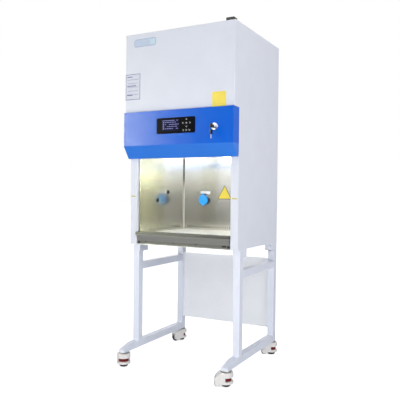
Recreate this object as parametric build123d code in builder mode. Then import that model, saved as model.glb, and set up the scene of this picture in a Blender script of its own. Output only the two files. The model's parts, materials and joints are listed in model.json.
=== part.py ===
from build123d import *
import os
from math import cos, radians, sin

# Class II biosafety cabinet on a castored stand, in millimetres.
# X runs to the operator's right, Y to the back of the cabinet and Z up from the floor.
# The origin is on the floor, under the middle of the whole outline.

os.makedirs("parts", exist_ok=True)

# ---------------------------------------------------------------- driving sizes
BODY_WIDTH = 700.0
BODY_HEIGHT = 1210.0
BODY_DEPTH = 650.0              # control fascia to back panel
STAND_HEIGHT = 700.0            # floor to cabinet underside
SKIN = 1.5                      # folded sheet, inside and out
SEAM = 0.8                      # shadow gap between two covers
FRONT_REACH = 131.0             # front castors, ahead of the column faces
REAR_REACH = 597.0              # rear castors, behind the column faces

FASCIA_DEPTH = 72.0             # fascia face, ahead of the column faces
COVER_DEPTH = 57.0              # upper front cover, ahead of the column faces
FASCIA_HEIGHT = 261.0
BEVEL_HEIGHT = 70.0             # sloping lower part of the fascia
BEVEL_DEPTH = 48.0
FASCIA_TOP = 760.0              # fascia top edge above the cabinet underside
FASCIA_LIP = 17.0               # level lip behind the bevel
FASCIA_NOTCH = 26.0             # height over which the end plates lean back
COVER_RETURN = 15.0
COLUMN_WIDTH = 45.0             # painted face each side of the front opening
COLUMN_RETURN = 11.5
FLANGE = 20.0                   # folded stiffening flanges

WALL_SPACE = 50.0               # chamber wall inside the cabinet side
CHAMBER_BACK = 527.0            # inner back wall, behind the column faces
CHAMBER_HEIGHT = 540.0
TRAY_HEIGHT = 62.0              # work surface above the cabinet underside
TRAY_FLANGE = 22.0
TRAY_SIDE_GAP = 1.5
TRAY_RIM = 14.0
TRAY_DISH = 2.0
TRAY_CORNER = 12.0
SLOT_PITCH = 15.5               # return-air slots along the foot of the walls
SLOT_WIDTH = 5.0
SLOT_HEIGHT = 12.0
SLOT_RISE = 10.5                # slot foot above the work surface
BACK_SLOT_BORDER = 25.0         # plain strip at each end of the back row
SIDE_SLOTS = 23
SIDE_SLOT_START = 135.0
EDGE_SLOT_PITCH = 13.0          # upright row at the front edge of the side walls
EDGE_SLOT_WIDTH = 4.0
EDGE_SLOT_HEIGHT = 8.0
EDGE_SLOT_INSET = 19.0
EDGE_SLOTS = 30

GLASS_THICKNESS = 5.0
GLASS_HEIGHT = 460.0
GLASS_ARRIS = 0.8
GLASS_OPENING = 209.0           # sash bottom edge above the work surface
GLASS_GAP = 0.2                 # running clearance in the guides
GUIDE_DEPTH = 11.0
GUIDE_WIDTH = 15.0
GUIDE_WALL = 2.8
GUIDE_LIP = 2.0                 # guide stands in from the column edge
GUIDE_HEIGHT = 830.0
GUIDE_RISE = 3.0                # guide foot above the sill

SILL_FRONT = 14.0               # sill nose, ahead of the column faces
SILL_BACK = 80.0
SILL_RISE = 11.0                # sill top above the work surface
SILL_NOSE = 16.0
SILL_SLOPE = 35.0
SILL_TUCK = 19.0
SILL_CLEARANCE = 0.5
SILL_FOOT_LEAN = 3.0
SILL_REAR_SLOPE = 30.0
SILL_ROUND = 3.0
GRILLE_INSET = 22.0             # plain strip of the sill ahead of its slots
GRILLE_BORDER = 15.0            # plain strip at each end of the grille
GRILLE_PITCH = 17.0
GRILLE_SLOT_LENGTH = 30.0
GRILLE_SLOT_WIDTH = 6.0

DISPLAY_WIDTH = 246.0
DISPLAY_HEIGHT = 87.0
DISPLAY_DROP = 87.0             # display centre below the fascia top
DISPLAY_RADIUS = 8.0
DISPLAY_MARGIN = 5.0            # bezel overlap on the fascia, all round
DISPLAY_PROUD = 2.5
DISPLAY_DEPTH = 22.0            # housing behind the fascia
SCREEN_WIDTH = 112.0
SCREEN_HEIGHT = 61.0
SCREEN_X = -33.0
SCREEN_RISE = 2.0
SCREEN_THICKNESS = 1.2
KEY_X = 70.0
KEY_RISE = 10.5                 # centre key above the display centre
KEY_PITCH_X = 22.0
KEY_PITCH_Z = 19.5
KEY_WIDTH = 16.0
KEY_HEIGHT = 13.0
KEY_DEPTH = 4.0
KEY_TRAVEL = 0.5
KEY_GAP = 0.3
KEY_CORNER = 2.0
KEY_PITCH_NARROW = 19.0         # rows beside the middle one

LOCK_INSET = 109.0              # lock centre inside the right end
LOCK_DROP = 104.0               # lock centre below the fascia top
LOCK_RING_RADIUS = 19.5
LOCK_RING_THICKNESS = 5.0
LOCK_BARREL_RADIUS = 12.5
LOCK_BARREL_LENGTH = 20.0
LOCK_THREAD_RADIUS = 11.0
LOCK_BORE = 4.6
LOCK_EDGE = 1.5
LOCK_BORE_DEPTH = 16.0
LOCK_BACK = 24.0
LOCK_TAPER = 25.0               # slope of the ring's rim, in degrees
LOCK_NUT_RADIUS = 15.0
LOCK_NUT_THICKNESS = 4.0
KEY_SHANK_GAP = 0.06
KEY_TIP_GAP = 1.0               # key tip to the bottom of its bore
BOW_GAP = 3.0                   # key head ahead of the barrel
BOW_DEPTH = 26.0
BOW_HEIGHT = 21.0
BOW_THICKNESS = 6.0
BOW_HOLE = 2.4
BOW_HOLE_INSET = 4.5
BOW_CORNER = 5.0
KEY_RING_RADIUS = 9.0
KEY_RING_WIRE = 0.9             # half the thickness of the flat ring
KEY_RING_HANG = 0.7             # ring and spare key hang in their holes
SPARE_HEIGHT = 24.0
SPARE_BLADE = 21.0
BLADE_WIDTH = 8.0
BLADE_THICKNESS = 2.4
BLADE_ROOT = 4.0                # blade and shank inside the key head

SOCKET_X = -139.0
SOCKET_RISE = 197.0             # socket centre above the work surface
SOCKET_RADIUS = 34.0
SOCKET_DEPTH = 17.0
SOCKET_WELL = 22.0
LID_THICKNESS = 8.0
LID_GAP = 0.3
HINGE_PIN = 2.5
SOCKET_WALL = 3.0
SOCKET_TAIL = 22.0              # socket body behind the chamber wall
SOCKET_CUP = 20.0               # depth of the plug well
PIN_CIRCLE = 7.0
PIN_SLOT_WIDTH = 2.0
PIN_SLOT_LENGTH = 6.0
PIN_SLOT_DEPTH = 12.0
EAR_SPREAD = 11.0               # hinge ears, each side of the lid's middle
EAR_WIDTH = 6.0
EAR_RIM = 2.0
EAR_ROOT = 8.0
LID_RIM = 1.0
LID_EDGE = 2.0
LID_EAR = 7.5
LID_TAB = 9.0                   # finger tab at the foot of the lid
LID_TAB_DROP = 4.0
PORT_RADIUS = 12.0
PORT_BORE = 8.0
PORT_PROUD = 3.0
PORT_LENGTH = 12.0
PORT_TAPER = 20.0
PORTS = [(209.0, 193.0), (330.0, 245.0)]   # behind the columns, above the work surface

FILTER_HEIGHT = 69.0
FILTER_RIM = 18.0
FILTER_PLEATS = 22
PLEAT_OPEN = 0.55               # open share of each pleat's pitch
PLEAT_DEPTH = 0.25              # share of the pack's height, from each face
DIFFUSER_HOLES_X = 18
DIFFUSER_HOLES_Y = 14
DIFFUSER_HOLE = 9.0
DIFFUSER_BORDER = 30.0          # plain edge at each side and behind the holes
DIFFUSER_FRONT = 115.0          # plain front strip that carries the lamps
PLENUM_HEIGHT = 456.0
PLENUM_MARGIN = 18.0            # plenum and filter overhang the chamber walls
EXHAUST_SIZE = 300.0
EXHAUST_Y = 300.0               # exhaust centre behind the column faces
COLLAR_RADIUS = 125.0
COLLAR_HEIGHT = 18.0
COLLAR_WALL = 2.0
COLLAR_FLANGE = 22.0
GUARD_PITCH = 20.0
GUARD_HOLE = 14.0
GUARD_HOLES = 11

BLOWER_RADIUS = 95.0
BLOWER_WIDTH = 110.0
BLOWER_Z = 250.0                # shaft above the plenum foot
BLOWER_BLADES = 24
BLADE_CHORD = 18.0
BLADE_SHEET = 2.0
BLADE_LEAN = 35.0
IMPELLER_PLATE = 2.5
IMPELLER_RING = 3.0
IMPELLER_SIDE_GAP = 10.0        # impeller to each side of its casing
HUB_WALL = 10.0
HUB_LENGTH = 30.0
INLET_LAP = 14.0                # casing inlet inside the impeller's rim
SCROLL_GAP = 9.0
SCROLL_GROWTH = 62.0
SCROLL_WALL = 2.0
SCROLL_STEPS = 12
SCROLL_START = -60.0
SCROLL_STEP = 25.0
OUTLET_DROP = 60.0
MOTOR_FLANGE = 10.0
MOTOR_FLANGE_THICKNESS = 4.0
MOTOR_EDGE = 8.0
SHAFT_END_GAP = 2.0
SHAFT_HOLE_WALL = 4.0
MOTOR_RADIUS = 58.0
MOTOR_LENGTH = 92.0
SHAFT_RADIUS = 8.0
SHAFT_GAP = 0.05

LAMP_RADIUS = 8.0
LAMP_END = 50.0                 # lamp ends inside the chamber walls
LAMP_DROP = 20.0                # lamp axis below the chamber ceiling
LED_BACK = 48.0
UV_BACK = 80.0
HOLDER_LENGTH = 14.0
HOLDER_WIDTH = 22.0
HOLDER_ROUND = 6.0
LAMP_CAP = 16.0
LAMP_STEP = 1.0                 # caps stand proud of the tube

INLET_INSET = 41.0              # power inlet inside the right end
INLET_FRONT = 40.0              # power inlet, ahead of the column faces
INLET_WIDTH = 48.0
INLET_DEPTH = 42.0
INLET_HEIGHT = 21.0
INLET_ROUND = 4.0
INLET_TOP_ROUND = 2.0
INLET_CUP_WIDTH = 24.0
INLET_CUP_HEIGHT = 14.0
INLET_CUP_ROUND = 3.0
INLET_CUP_DEPTH = 14.0
INLET_PIN_PITCH = 7.0
INLET_PIN_WIDTH = 2.0
INLET_PIN_HEIGHT = 4.0
INLET_PIN_LENGTH = 11.0

TUBE = 40.0                     # square stand tube
TUBE_WALL = 2.0
LEG_INSET = 1.0                 # stand inside the cabinet sides
LEG_BACK = 33.0                 # front leg face, behind the column faces
RAIL_FOOT = 83.0                # underside of the lower rails
UPPER_RAIL_DROP = 154.0         # foot of the upper rails below the cabinet
TOE_TIP = 104.0                 # toe nose, ahead of the column faces
TOE_BEND = 12.0
TOE_NOSE = 17.0
TOE_ROUND = 40.0
PAD_TUBE = 44.0                 # square tube between each leg and the cabinet
PAD_LENGTH = 85.0
BOLT_RADIUS = 5.0
BOLT_HEAD = 8.5
BOLT_HEAD_HEIGHT = 6.5
MODESTY_FOOT = 168.0
MODESTY_DROP = 100.0            # top of the rear panel below the cabinet
MODESTY_DEPTH = 16.0
MODESTY_LAP = 4.0               # panel face behind the middle of the rear legs

CASTOR_FRONT = 82.0             # castor stems, ahead of and behind the column faces
CASTOR_REAR = 558.0
HOUSING_RADIUS = 38.5
HOUSING_REAR = 62.0
HOUSING_TAIL = 15.0             # corner radius at the wheel end
HOUSING_TAPER = 12.0
HOUSING_TOP = 77.0
HOUSING_SKIRT = 19.3            # underside over the pad
HOUSING_CHEEK = 9.0             # underside beside the wheel
SKIRT_LAP = 4.0                 # skirt reaches behind the front of the wheel
SKIRT_SLOPE = 6.0
CHEEK_LAP = 4.0                 # cheek foot reaches behind the axle
CROWN = 8.0                     # rounding of the top over the pad
TAIL_START = 24.0               # where the top begins to fall towards the wheel
TAIL_FOOT = 38.0
TAIL_BULGE = 5.0                # roundness of the fall towards the wheel
WINDOW_BACK = 4.0               # window round the dial ends behind the stem
BEARING_RADIUS = 28.0
BEARING_GAP = 0.3
STEM_RADIUS = 6.0
STEM_LENGTH = 18.0
STEM_NUT_RADIUS = 11.0
KINGPIN_RADIUS = 9.0
KINGPIN_LENGTH = 9.0
RUNNING = 0.06                  # radial clearance of turning shafts
WHEEL_RADIUS = 19.5
WHEEL_WIDTH = 24.0
WHEEL_TRAIL = 44.0
WHEEL_SIDE_GAP = 1.2
WHEEL_HEADROOM = 9.0            # slot above the wheel
WHEEL_SHOULDER = 3.0
WHEEL_TREAD = 6.0               # tread outside the dished sides
WHEEL_BOSS = 3.0
WHEEL_DISH = 2.0
AXLE_RADIUS = 4.0
AXLE_HALF = 31.0
DIAL_RADIUS = 28.5
DIAL_HEIGHT = 19.0
DIAL_FOOT = 33.0
DIAL_GRIPS = 16
DIAL_GRIP_RADIUS = 2.4
DIAL_GRIP_RISE = 1.0            # centres of the hollows outside the rim
DIAL_GAP = 0.5
PAD_RADIUS = 24.0
PAD_HEIGHT = 16.0
PAD_EDGE = 4.0
PAD_LIFT = 3.0                  # pads hang clear while the castors carry the load
SPINDLE_RADIUS = 5.0
SPINDLE_TOP = 55.0
SPINDLE_HEADROOM = 2.0
CASTORS = {                     # side, row and heading of the wheel end in degrees
    "fl": (-1, "front", 127.0),
    "fr": (1, "front", 206.0),
    "rl": (-1, "rear", 244.0),
    "rr": (1, "rear", 206.0),
}

# ---------------------------------------------------------------- derived places
COLUMN_Y = (FRONT_REACH - REAR_REACH) / 2
FASCIA_Y = COLUMN_Y - FASCIA_DEPTH
COVER_Y = COLUMN_Y - COVER_DEPTH
BACK_Y = FASCIA_Y + BODY_DEPTH
HALF_WIDTH = BODY_WIDTH / 2
LOCK_X = HALF_WIDTH - LOCK_INSET
INLET_X = HALF_WIDTH - INLET_INSET
BASE_Z = STAND_HEIGHT
TOP_Z = BASE_Z + BODY_HEIGHT
FASCIA_TOP_Z = BASE_Z + FASCIA_TOP
FASCIA_FOOT_Z = FASCIA_TOP_Z - FASCIA_HEIGHT
COVER_FOOT_Z = FASCIA_TOP_Z + SEAM
COVER_BACK_Y = COVER_Y + COVER_RETURN
SIDE_FRONT_Y = COVER_BACK_Y + SEAM
HALF_CHAMBER = HALF_WIDTH - WALL_SPACE
TRAY_Z = BASE_Z + TRAY_HEIGHT
TRAY_FRONT_Y = COLUMN_Y + SILL_BACK + SILL_CLEARANCE
LEDGE_X = HALF_CHAMBER - TRAY_SIDE_GAP
CEILING_Z = TRAY_Z + CHAMBER_HEIGHT
GUIDE_FRONT_Y = COLUMN_Y + COLUMN_RETURN
LINER_FRONT_Y = GUIDE_FRONT_Y + GUIDE_DEPTH
LINER_BACK_Y = COLUMN_Y + CHAMBER_BACK
GLASS_Y = GUIDE_FRONT_Y + GUIDE_DEPTH / 2
COLUMN_INNER_X = HALF_WIDTH - COLUMN_WIDTH
PLENUM_HALF = HALF_CHAMBER + PLENUM_MARGIN
PLENUM_FRONT_Y = LINER_FRONT_Y + 2 * SKIN
PLENUM_FOOT_Z = CEILING_Z + SKIN + FILTER_HEIGHT
PLENUM_TOP_Z = PLENUM_FOOT_Z + PLENUM_HEIGHT
SHAFT_Z = PLENUM_FOOT_Z + BLOWER_Z
FRAME_X = HALF_WIDTH - LEG_INSET - TUBE / 2
FRONT_LEG_Y = COLUMN_Y + LEG_BACK + TUBE / 2
REAR_LEG_Y = BACK_Y - TUBE / 2
PAD_TUBE_Z = BASE_Z - PAD_TUBE
UPPER_RAIL_Z = BASE_Z - UPPER_RAIL_DROP
PAD_TUBE_Y = (COLUMN_Y + LEG_BACK, BACK_Y - PAD_LENGTH)
PAD_OVERHANG = PAD_LENGTH - TUBE
PAD_BOLT_Y = (PAD_TUBE_Y[0] + PAD_LENGTH - PAD_OVERHANG / 2, PAD_TUBE_Y[1] + PAD_OVERHANG / 2)
CASTOR_FRONT_Y = COLUMN_Y - CASTOR_FRONT
CASTOR_REAR_Y = COLUMN_Y + CASTOR_REAR
DISPLAY_Z = FASCIA_TOP_Z - DISPLAY_DROP
LOCK_Z = FASCIA_TOP_Z - LOCK_DROP
SOCKET_Z = TRAY_Z + SOCKET_RISE


def save(piece, name):
    """Label a finished piece and write it out."""
    piece.part.label = name
    export_step(piece.part, f"parts/{name}.step")


def slab(low, high, mode=Mode.ADD):
    """A rectangular plate or cut between two opposite corners."""
    centre = Vector(*[(a + b) / 2 for a, b in zip(low, high)])
    with Locations(centre):
        Box(*[b - a for a, b in zip(low, high)], mode=mode)


def front_plane(x, y, z):
    """A plane facing the operator: local X to the right, local Y up."""
    return Plane(origin=(x, y, z), x_dir=(1, 0, 0), z_dir=(0, -1, 0))


def mirrored(piece):
    """The opposite hand of a piece, across the middle of the cabinet."""
    with BuildPart() as other:
        add(piece.part)
        mirror(about=Plane.YZ, mode=Mode.REPLACE)
    return other


# ---------------------------------------------------------------- outer casing
# A side panel is one folded sheet: an L-shaped outline that steps forward above the
# fascia, the column face with its return beside the front opening, and inner flanges.
with BuildPart() as side_panel_right:
    with BuildSketch(Plane.YZ.offset(HALF_WIDTH - SKIN)):
        with BuildLine():
            Polyline(
                (COLUMN_Y, BASE_Z), (BACK_Y - SKIN, BASE_Z), (BACK_Y - SKIN, TOP_Z),
                (SIDE_FRONT_Y, TOP_Z), (SIDE_FRONT_Y, COVER_FOOT_Z),
                (COLUMN_Y, COVER_FOOT_Z), close=True,
            )
        make_face()
    extrude(amount=SKIN)
    slab((COLUMN_INNER_X, COLUMN_Y, BASE_Z), (HALF_WIDTH, COLUMN_Y + SKIN, COVER_FOOT_Z))
    slab((COLUMN_INNER_X, COLUMN_Y, BASE_Z + SKIN),
         (COLUMN_INNER_X + SKIN, GUIDE_FRONT_Y, COVER_FOOT_Z))
    slab((HALF_WIDTH - FLANGE, SIDE_FRONT_Y, COVER_FOOT_Z),
         (HALF_WIDTH, SIDE_FRONT_Y + SKIN, TOP_Z - 2 * SKIN))
    slab((HALF_WIDTH - FLANGE, BACK_Y - 2 * SKIN, BASE_Z + 2 * SKIN),
         (HALF_WIDTH, BACK_Y - SKIN, TOP_Z - 2 * SKIN))
    slab((HALF_WIDTH - FLANGE, SIDE_FRONT_Y, COVER_FOOT_Z),
         (HALF_WIDTH, COLUMN_Y + SKIN, COVER_FOOT_Z + SKIN))
save(side_panel_right, "side_panel_right")
side_panel_left = mirrored(side_panel_right)
save(side_panel_left, "side_panel_left")

with BuildPart() as back_panel:
    slab((-HALF_WIDTH, BACK_Y - SKIN, BASE_Z), (HALF_WIDTH, BACK_Y, TOP_Z))
save(back_panel, "back_panel")

# The top sheet lies between the side panels, with the exhaust hole.
with BuildPart() as top_panel:
    slab((SKIN - HALF_WIDTH, SIDE_FRONT_Y, TOP_Z - SKIN),
         (HALF_WIDTH - SKIN, BACK_Y - SKIN, TOP_Z))
    with Locations((0, COLUMN_Y + EXHAUST_Y, TOP_Z)):
        Cylinder(COLLAR_RADIUS - COLLAR_WALL, 4 * SKIN, mode=Mode.SUBTRACT)
save(top_panel, "top_panel")

# The base sheet closes the underside. Two folded upstands carry the work tray.
with BuildPart() as base_pan:
    slab((SKIN - HALF_WIDTH, COLUMN_Y + SKIN, BASE_Z),
         (HALF_WIDTH - SKIN, BACK_Y - SKIN, BASE_Z + SKIN))
    for side in (-1, 1):
        x_out, x_in = side * LEDGE_X, side * (LEDGE_X - SKIN)
        slab((min(x_out, x_in), COLUMN_Y + SILL_BACK + SILL_CLEARANCE, BASE_Z),
             (max(x_out, x_in), LINER_BACK_Y - 2 * SKIN, TRAY_Z - TRAY_FLANGE))
save(base_pan, "base_pan")

# The upper front cover is a shallow pan with turned edges.
with BuildPart() as upper_front_cover:
    slab((-HALF_WIDTH, COVER_Y, COVER_FOOT_Z), (HALF_WIDTH, COVER_BACK_Y, TOP_Z))
    fillet(upper_front_cover.edges().group_by(Axis.Y)[0], radius=2 * SKIN)
    offset(amount=-SKIN, openings=upper_front_cover.faces().sort_by(Axis.Y)[-1])
save(upper_front_cover, "upper_front_cover")

# The control fascia is a folded blue box with a sloping lower front, open at the back.
with BuildPart() as control_fascia:
    with BuildSketch(Plane.YZ.offset(-HALF_WIDTH)):
        with BuildLine():
            Polyline(
                (COLUMN_Y, FASCIA_TOP_Z),
                (FASCIA_Y, FASCIA_TOP_Z),
                (FASCIA_Y, FASCIA_FOOT_Z + BEVEL_HEIGHT),
                (FASCIA_Y + BEVEL_DEPTH, FASCIA_FOOT_Z),
                (FASCIA_Y + BEVEL_DEPTH + FASCIA_LIP, FASCIA_FOOT_Z),
                (COLUMN_Y, FASCIA_FOOT_Z + FASCIA_NOTCH),
                close=True,
            )
        make_face()
    extrude(amount=BODY_WIDTH)
    fillet(control_fascia.edges().filter_by(Axis.Z).group_by(Axis.Y)[0], radius=2 * SKIN)
    offset(amount=-SKIN, openings=control_fascia.faces().sort_by(Axis.Y)[-1])
    with BuildSketch(front_plane(0, FASCIA_Y, DISPLAY_Z)):
        Rectangle(DISPLAY_WIDTH - 2 * DISPLAY_MARGIN, DISPLAY_HEIGHT - 2 * DISPLAY_MARGIN)
    extrude(amount=-3 * SKIN, mode=Mode.SUBTRACT)
    with BuildSketch(front_plane(LOCK_X, FASCIA_Y, LOCK_Z)):
        Circle(LOCK_THREAD_RADIUS + KEY_GAP)
    extrude(amount=-3 * SKIN, mode=Mode.SUBTRACT)
save(control_fascia, "control_fascia")

# ---------------------------------------------------------------- controls
KEYS = {                        # column and row on the keypad, in pitches from its centre
    "key_up": (0, 1),
    "key_left": (-1, 0),
    "key_enter": (0, 0),
    "key_right": (1, 0),
    "key_down": (0, -1),
    "key_lamp": (-1, -2),
    "key_fan": (0, -2),
    "key_socket": (1, -2),
}


def key_place(column, row):
    """Centre of a key on the display face."""
    pitch_x = KEY_PITCH_X if row == 0 else KEY_PITCH_NARROW
    return KEY_X + column * pitch_x, DISPLAY_Z + KEY_RISE + row * KEY_PITCH_Z


DISPLAY_FACE_Y = FASCIA_Y - DISPLAY_PROUD
with BuildPart() as display_panel:
    with BuildSketch(front_plane(0, FASCIA_Y, DISPLAY_Z)):
        RectangleRounded(DISPLAY_WIDTH, DISPLAY_HEIGHT, DISPLAY_RADIUS)
    extrude(amount=DISPLAY_PROUD)
    with BuildSketch(front_plane(0, FASCIA_Y, DISPLAY_Z)):
        Rectangle(DISPLAY_WIDTH - 2 * DISPLAY_MARGIN - 2 * KEY_GAP,
                  DISPLAY_HEIGHT - 2 * DISPLAY_MARGIN - 2 * KEY_GAP)
    extrude(amount=-DISPLAY_DEPTH)
    with BuildSketch(front_plane(SCREEN_X, DISPLAY_FACE_Y, DISPLAY_Z + SCREEN_RISE)):
        Rectangle(SCREEN_WIDTH, SCREEN_HEIGHT)
    extrude(amount=-SCREEN_THICKNESS, mode=Mode.SUBTRACT)
    for column, row in KEYS.values():
        key_x, key_z = key_place(column, row)
        with BuildSketch(front_plane(key_x, DISPLAY_FACE_Y, key_z)):
            Rectangle(KEY_WIDTH + 2 * KEY_GAP, KEY_HEIGHT + 2 * KEY_GAP)
        extrude(amount=-(KEY_DEPTH + KEY_TRAVEL), mode=Mode.SUBTRACT)
save(display_panel, "display_panel")

with BuildPart() as display_screen:
    with BuildSketch(front_plane(SCREEN_X, DISPLAY_FACE_Y, DISPLAY_Z + SCREEN_RISE)):
        Rectangle(SCREEN_WIDTH, SCREEN_HEIGHT)
    extrude(amount=-SCREEN_THICKNESS)
save(display_screen, "display_screen")

for name, (column, row) in KEYS.items():
    key_x, key_z = key_place(column, row)
    with BuildPart() as key:
        with BuildSketch(front_plane(key_x, DISPLAY_FACE_Y - KEY_GAP, key_z)):
            RectangleRounded(KEY_WIDTH, KEY_HEIGHT, KEY_CORNER)
        extrude(amount=-KEY_DEPTH)
    save(key, name)

# The key switch: a chromed ring against the fascia, its barrel and the thread behind.
LOCK_FRONT_Y = FASCIA_Y - LOCK_BARREL_LENGTH
with BuildPart() as key_lock:
    with BuildSketch(front_plane(LOCK_X, FASCIA_Y, LOCK_Z)):
        Circle(LOCK_RING_RADIUS)
    extrude(amount=LOCK_RING_THICKNESS, taper=LOCK_TAPER)
    with BuildSketch(front_plane(LOCK_X, FASCIA_Y, LOCK_Z)):
        Circle(LOCK_BARREL_RADIUS)
    extrude(amount=LOCK_BARREL_LENGTH)
    chamfer(key_lock.edges().group_by(Axis.Y)[0], length=LOCK_EDGE)
    with BuildSketch(front_plane(LOCK_X, FASCIA_Y, LOCK_Z)):
        Circle(LOCK_THREAD_RADIUS)
    extrude(amount=-LOCK_BACK)
    with BuildSketch(front_plane(LOCK_X, FASCIA_Y + SKIN, LOCK_Z)):
        RegularPolygon(radius=LOCK_NUT_RADIUS, side_count=6)
    extrude(amount=-LOCK_NUT_THICKNESS)
    with BuildSketch(front_plane(LOCK_X, LOCK_FRONT_Y, LOCK_Z)):
        Circle(LOCK_BORE)
    extrude(amount=-LOCK_BORE_DEPTH, mode=Mode.SUBTRACT)
save(key_lock, "key_lock")


def key_bow(y_low, y_high, z_low, z_high, hole_y, hole_z):
    """The moulded flat head of a key, standing upright, with its ring hole."""
    with BuildSketch(Plane.YZ.offset(LOCK_X - BOW_THICKNESS / 2)) as head:
        with Locations(((y_low + y_high) / 2, (z_low + z_high) / 2)):
            RectangleRounded(y_high - y_low, z_high - z_low, BOW_CORNER)
        with Locations((hole_y, hole_z)):
            Circle(BOW_HOLE, mode=Mode.SUBTRACT)
    extrude(head.sketch, amount=BOW_THICKNESS)


# The key in the lock, the split ring through its head and the spare key hanging below.
BOW_BACK_Y = LOCK_FRONT_Y - BOW_GAP
RING_Y = BOW_BACK_Y - BOW_DEPTH / 2 - BOW_GAP
BOW_HOLE_Z = LOCK_Z - BOW_HEIGHT / 2 + BOW_HOLE_INSET
RING_Z = BOW_HOLE_Z - KEY_RING_RADIUS - KEY_RING_HANG
SPARE_HOLE_Z = RING_Z - KEY_RING_RADIUS - KEY_RING_HANG
SPARE_TOP_Z = SPARE_HOLE_Z + BOW_HOLE_INSET
SPARE_FOOT_Z = SPARE_TOP_Z - SPARE_HEIGHT
shank_tip_y = LOCK_FRONT_Y + LOCK_BORE_DEPTH - KEY_TIP_GAP
with BuildPart() as lock_keys:
    with BuildSketch(front_plane(LOCK_X, shank_tip_y, LOCK_Z)):
        Circle(LOCK_BORE - KEY_SHANK_GAP)
    extrude(amount=shank_tip_y - BOW_BACK_Y + BLADE_ROOT)
    key_bow(BOW_BACK_Y - BOW_DEPTH, BOW_BACK_Y, LOCK_Z - BOW_HEIGHT / 2,
            LOCK_Z + BOW_HEIGHT / 2, RING_Y, BOW_HOLE_Z)
    with BuildSketch(front_plane(LOCK_X, RING_Y + KEY_RING_WIRE, RING_Z)):
        Circle(KEY_RING_RADIUS + KEY_RING_WIRE)
        Circle(KEY_RING_RADIUS - KEY_RING_WIRE, mode=Mode.SUBTRACT)
    extrude(amount=2 * KEY_RING_WIRE)
    key_bow(RING_Y - BOW_HEIGHT / 2, RING_Y + BOW_HEIGHT / 2,
            SPARE_FOOT_Z, SPARE_TOP_Z, RING_Y, SPARE_HOLE_Z)
    slab((LOCK_X - BLADE_THICKNESS / 2, RING_Y - BLADE_WIDTH / 2, SPARE_FOOT_Z - SPARE_BLADE),
         (LOCK_X + BLADE_THICKNESS / 2, RING_Y + BLADE_WIDTH / 2, SPARE_FOOT_Z + BLADE_ROOT))
save(lock_keys, "lock_keys")

# ---------------------------------------------------------------- work chamber
# The liner is one stainless sheet folded round the back and both sides.
with BuildPart() as chamber_liner:
    with BuildSketch(Plane.XY.offset(BASE_Z + SKIN)):
        with BuildLine():
            Polyline(
                (-HALF_CHAMBER - SKIN, LINER_FRONT_Y), (-HALF_CHAMBER, LINER_FRONT_Y),
                (-HALF_CHAMBER, LINER_BACK_Y), (HALF_CHAMBER, LINER_BACK_Y),
                (HALF_CHAMBER, LINER_FRONT_Y), (HALF_CHAMBER + SKIN, LINER_FRONT_Y),
                (HALF_CHAMBER + SKIN, LINER_BACK_Y + SKIN),
                (-HALF_CHAMBER - SKIN, LINER_BACK_Y + SKIN), close=True,
            )
        make_face()
    extrude(amount=CEILING_Z - BASE_Z - SKIN)
    slot_z = TRAY_Z + SLOT_RISE + SLOT_HEIGHT / 2
    back_slots = int(2 * (HALF_CHAMBER - BACK_SLOT_BORDER) / SLOT_PITCH)
    with BuildSketch(front_plane(0, LINER_BACK_Y - SKIN, slot_z)):
        with GridLocations(SLOT_PITCH, 1, back_slots, 1):
            Rectangle(SLOT_WIDTH, SLOT_HEIGHT)
    extrude(amount=-4 * SKIN, mode=Mode.SUBTRACT)
    side_middle = COLUMN_Y + SIDE_SLOT_START + SLOT_PITCH * (SIDE_SLOTS - 1) / 2
    with BuildSketch(Plane.YZ.offset(-HALF_WIDTH)):
        with Locations((side_middle, slot_z)):
            with GridLocations(SLOT_PITCH, 1, SIDE_SLOTS, 1):
                Rectangle(SLOT_WIDTH, SLOT_HEIGHT)
        edge_middle = TRAY_Z + SLOT_RISE + 2 * SLOT_PITCH + EDGE_SLOT_PITCH * EDGE_SLOTS / 2
        with Locations((LINER_FRONT_Y + EDGE_SLOT_INSET, edge_middle)):
            with GridLocations(1, EDGE_SLOT_PITCH, 1, EDGE_SLOTS):
                Rectangle(EDGE_SLOT_WIDTH, EDGE_SLOT_HEIGHT)
    extrude(amount=BODY_WIDTH, mode=Mode.SUBTRACT)
    for port_y, port_z in PORTS:
        with Locations(Plane(origin=(-HALF_CHAMBER, COLUMN_Y + port_y, TRAY_Z + port_z),
                             z_dir=(1, 0, 0))):
            Cylinder(PORT_BORE, 4 * SKIN, mode=Mode.SUBTRACT)
    with BuildSketch(front_plane(SOCKET_X, LINER_BACK_Y - SKIN, SOCKET_Z)):
        Circle(SOCKET_WELL)
    extrude(amount=-4 * SKIN, mode=Mode.SUBTRACT)
save(chamber_liner, "chamber_liner")

with BuildPart() as service_port_plugs:
    for port_y, port_z in PORTS:
        wall = Plane(origin=(-HALF_CHAMBER, COLUMN_Y + port_y, TRAY_Z + port_z),
                     z_dir=(1, 0, 0))
        with BuildSketch(wall):
            Circle(PORT_RADIUS)
        extrude(amount=PORT_PROUD, taper=PORT_TAPER)
        with BuildSketch(wall):
            Circle(PORT_BORE - KEY_GAP)
        extrude(amount=-PORT_LENGTH)
save(service_port_plugs, "service_port_plugs")

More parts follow.
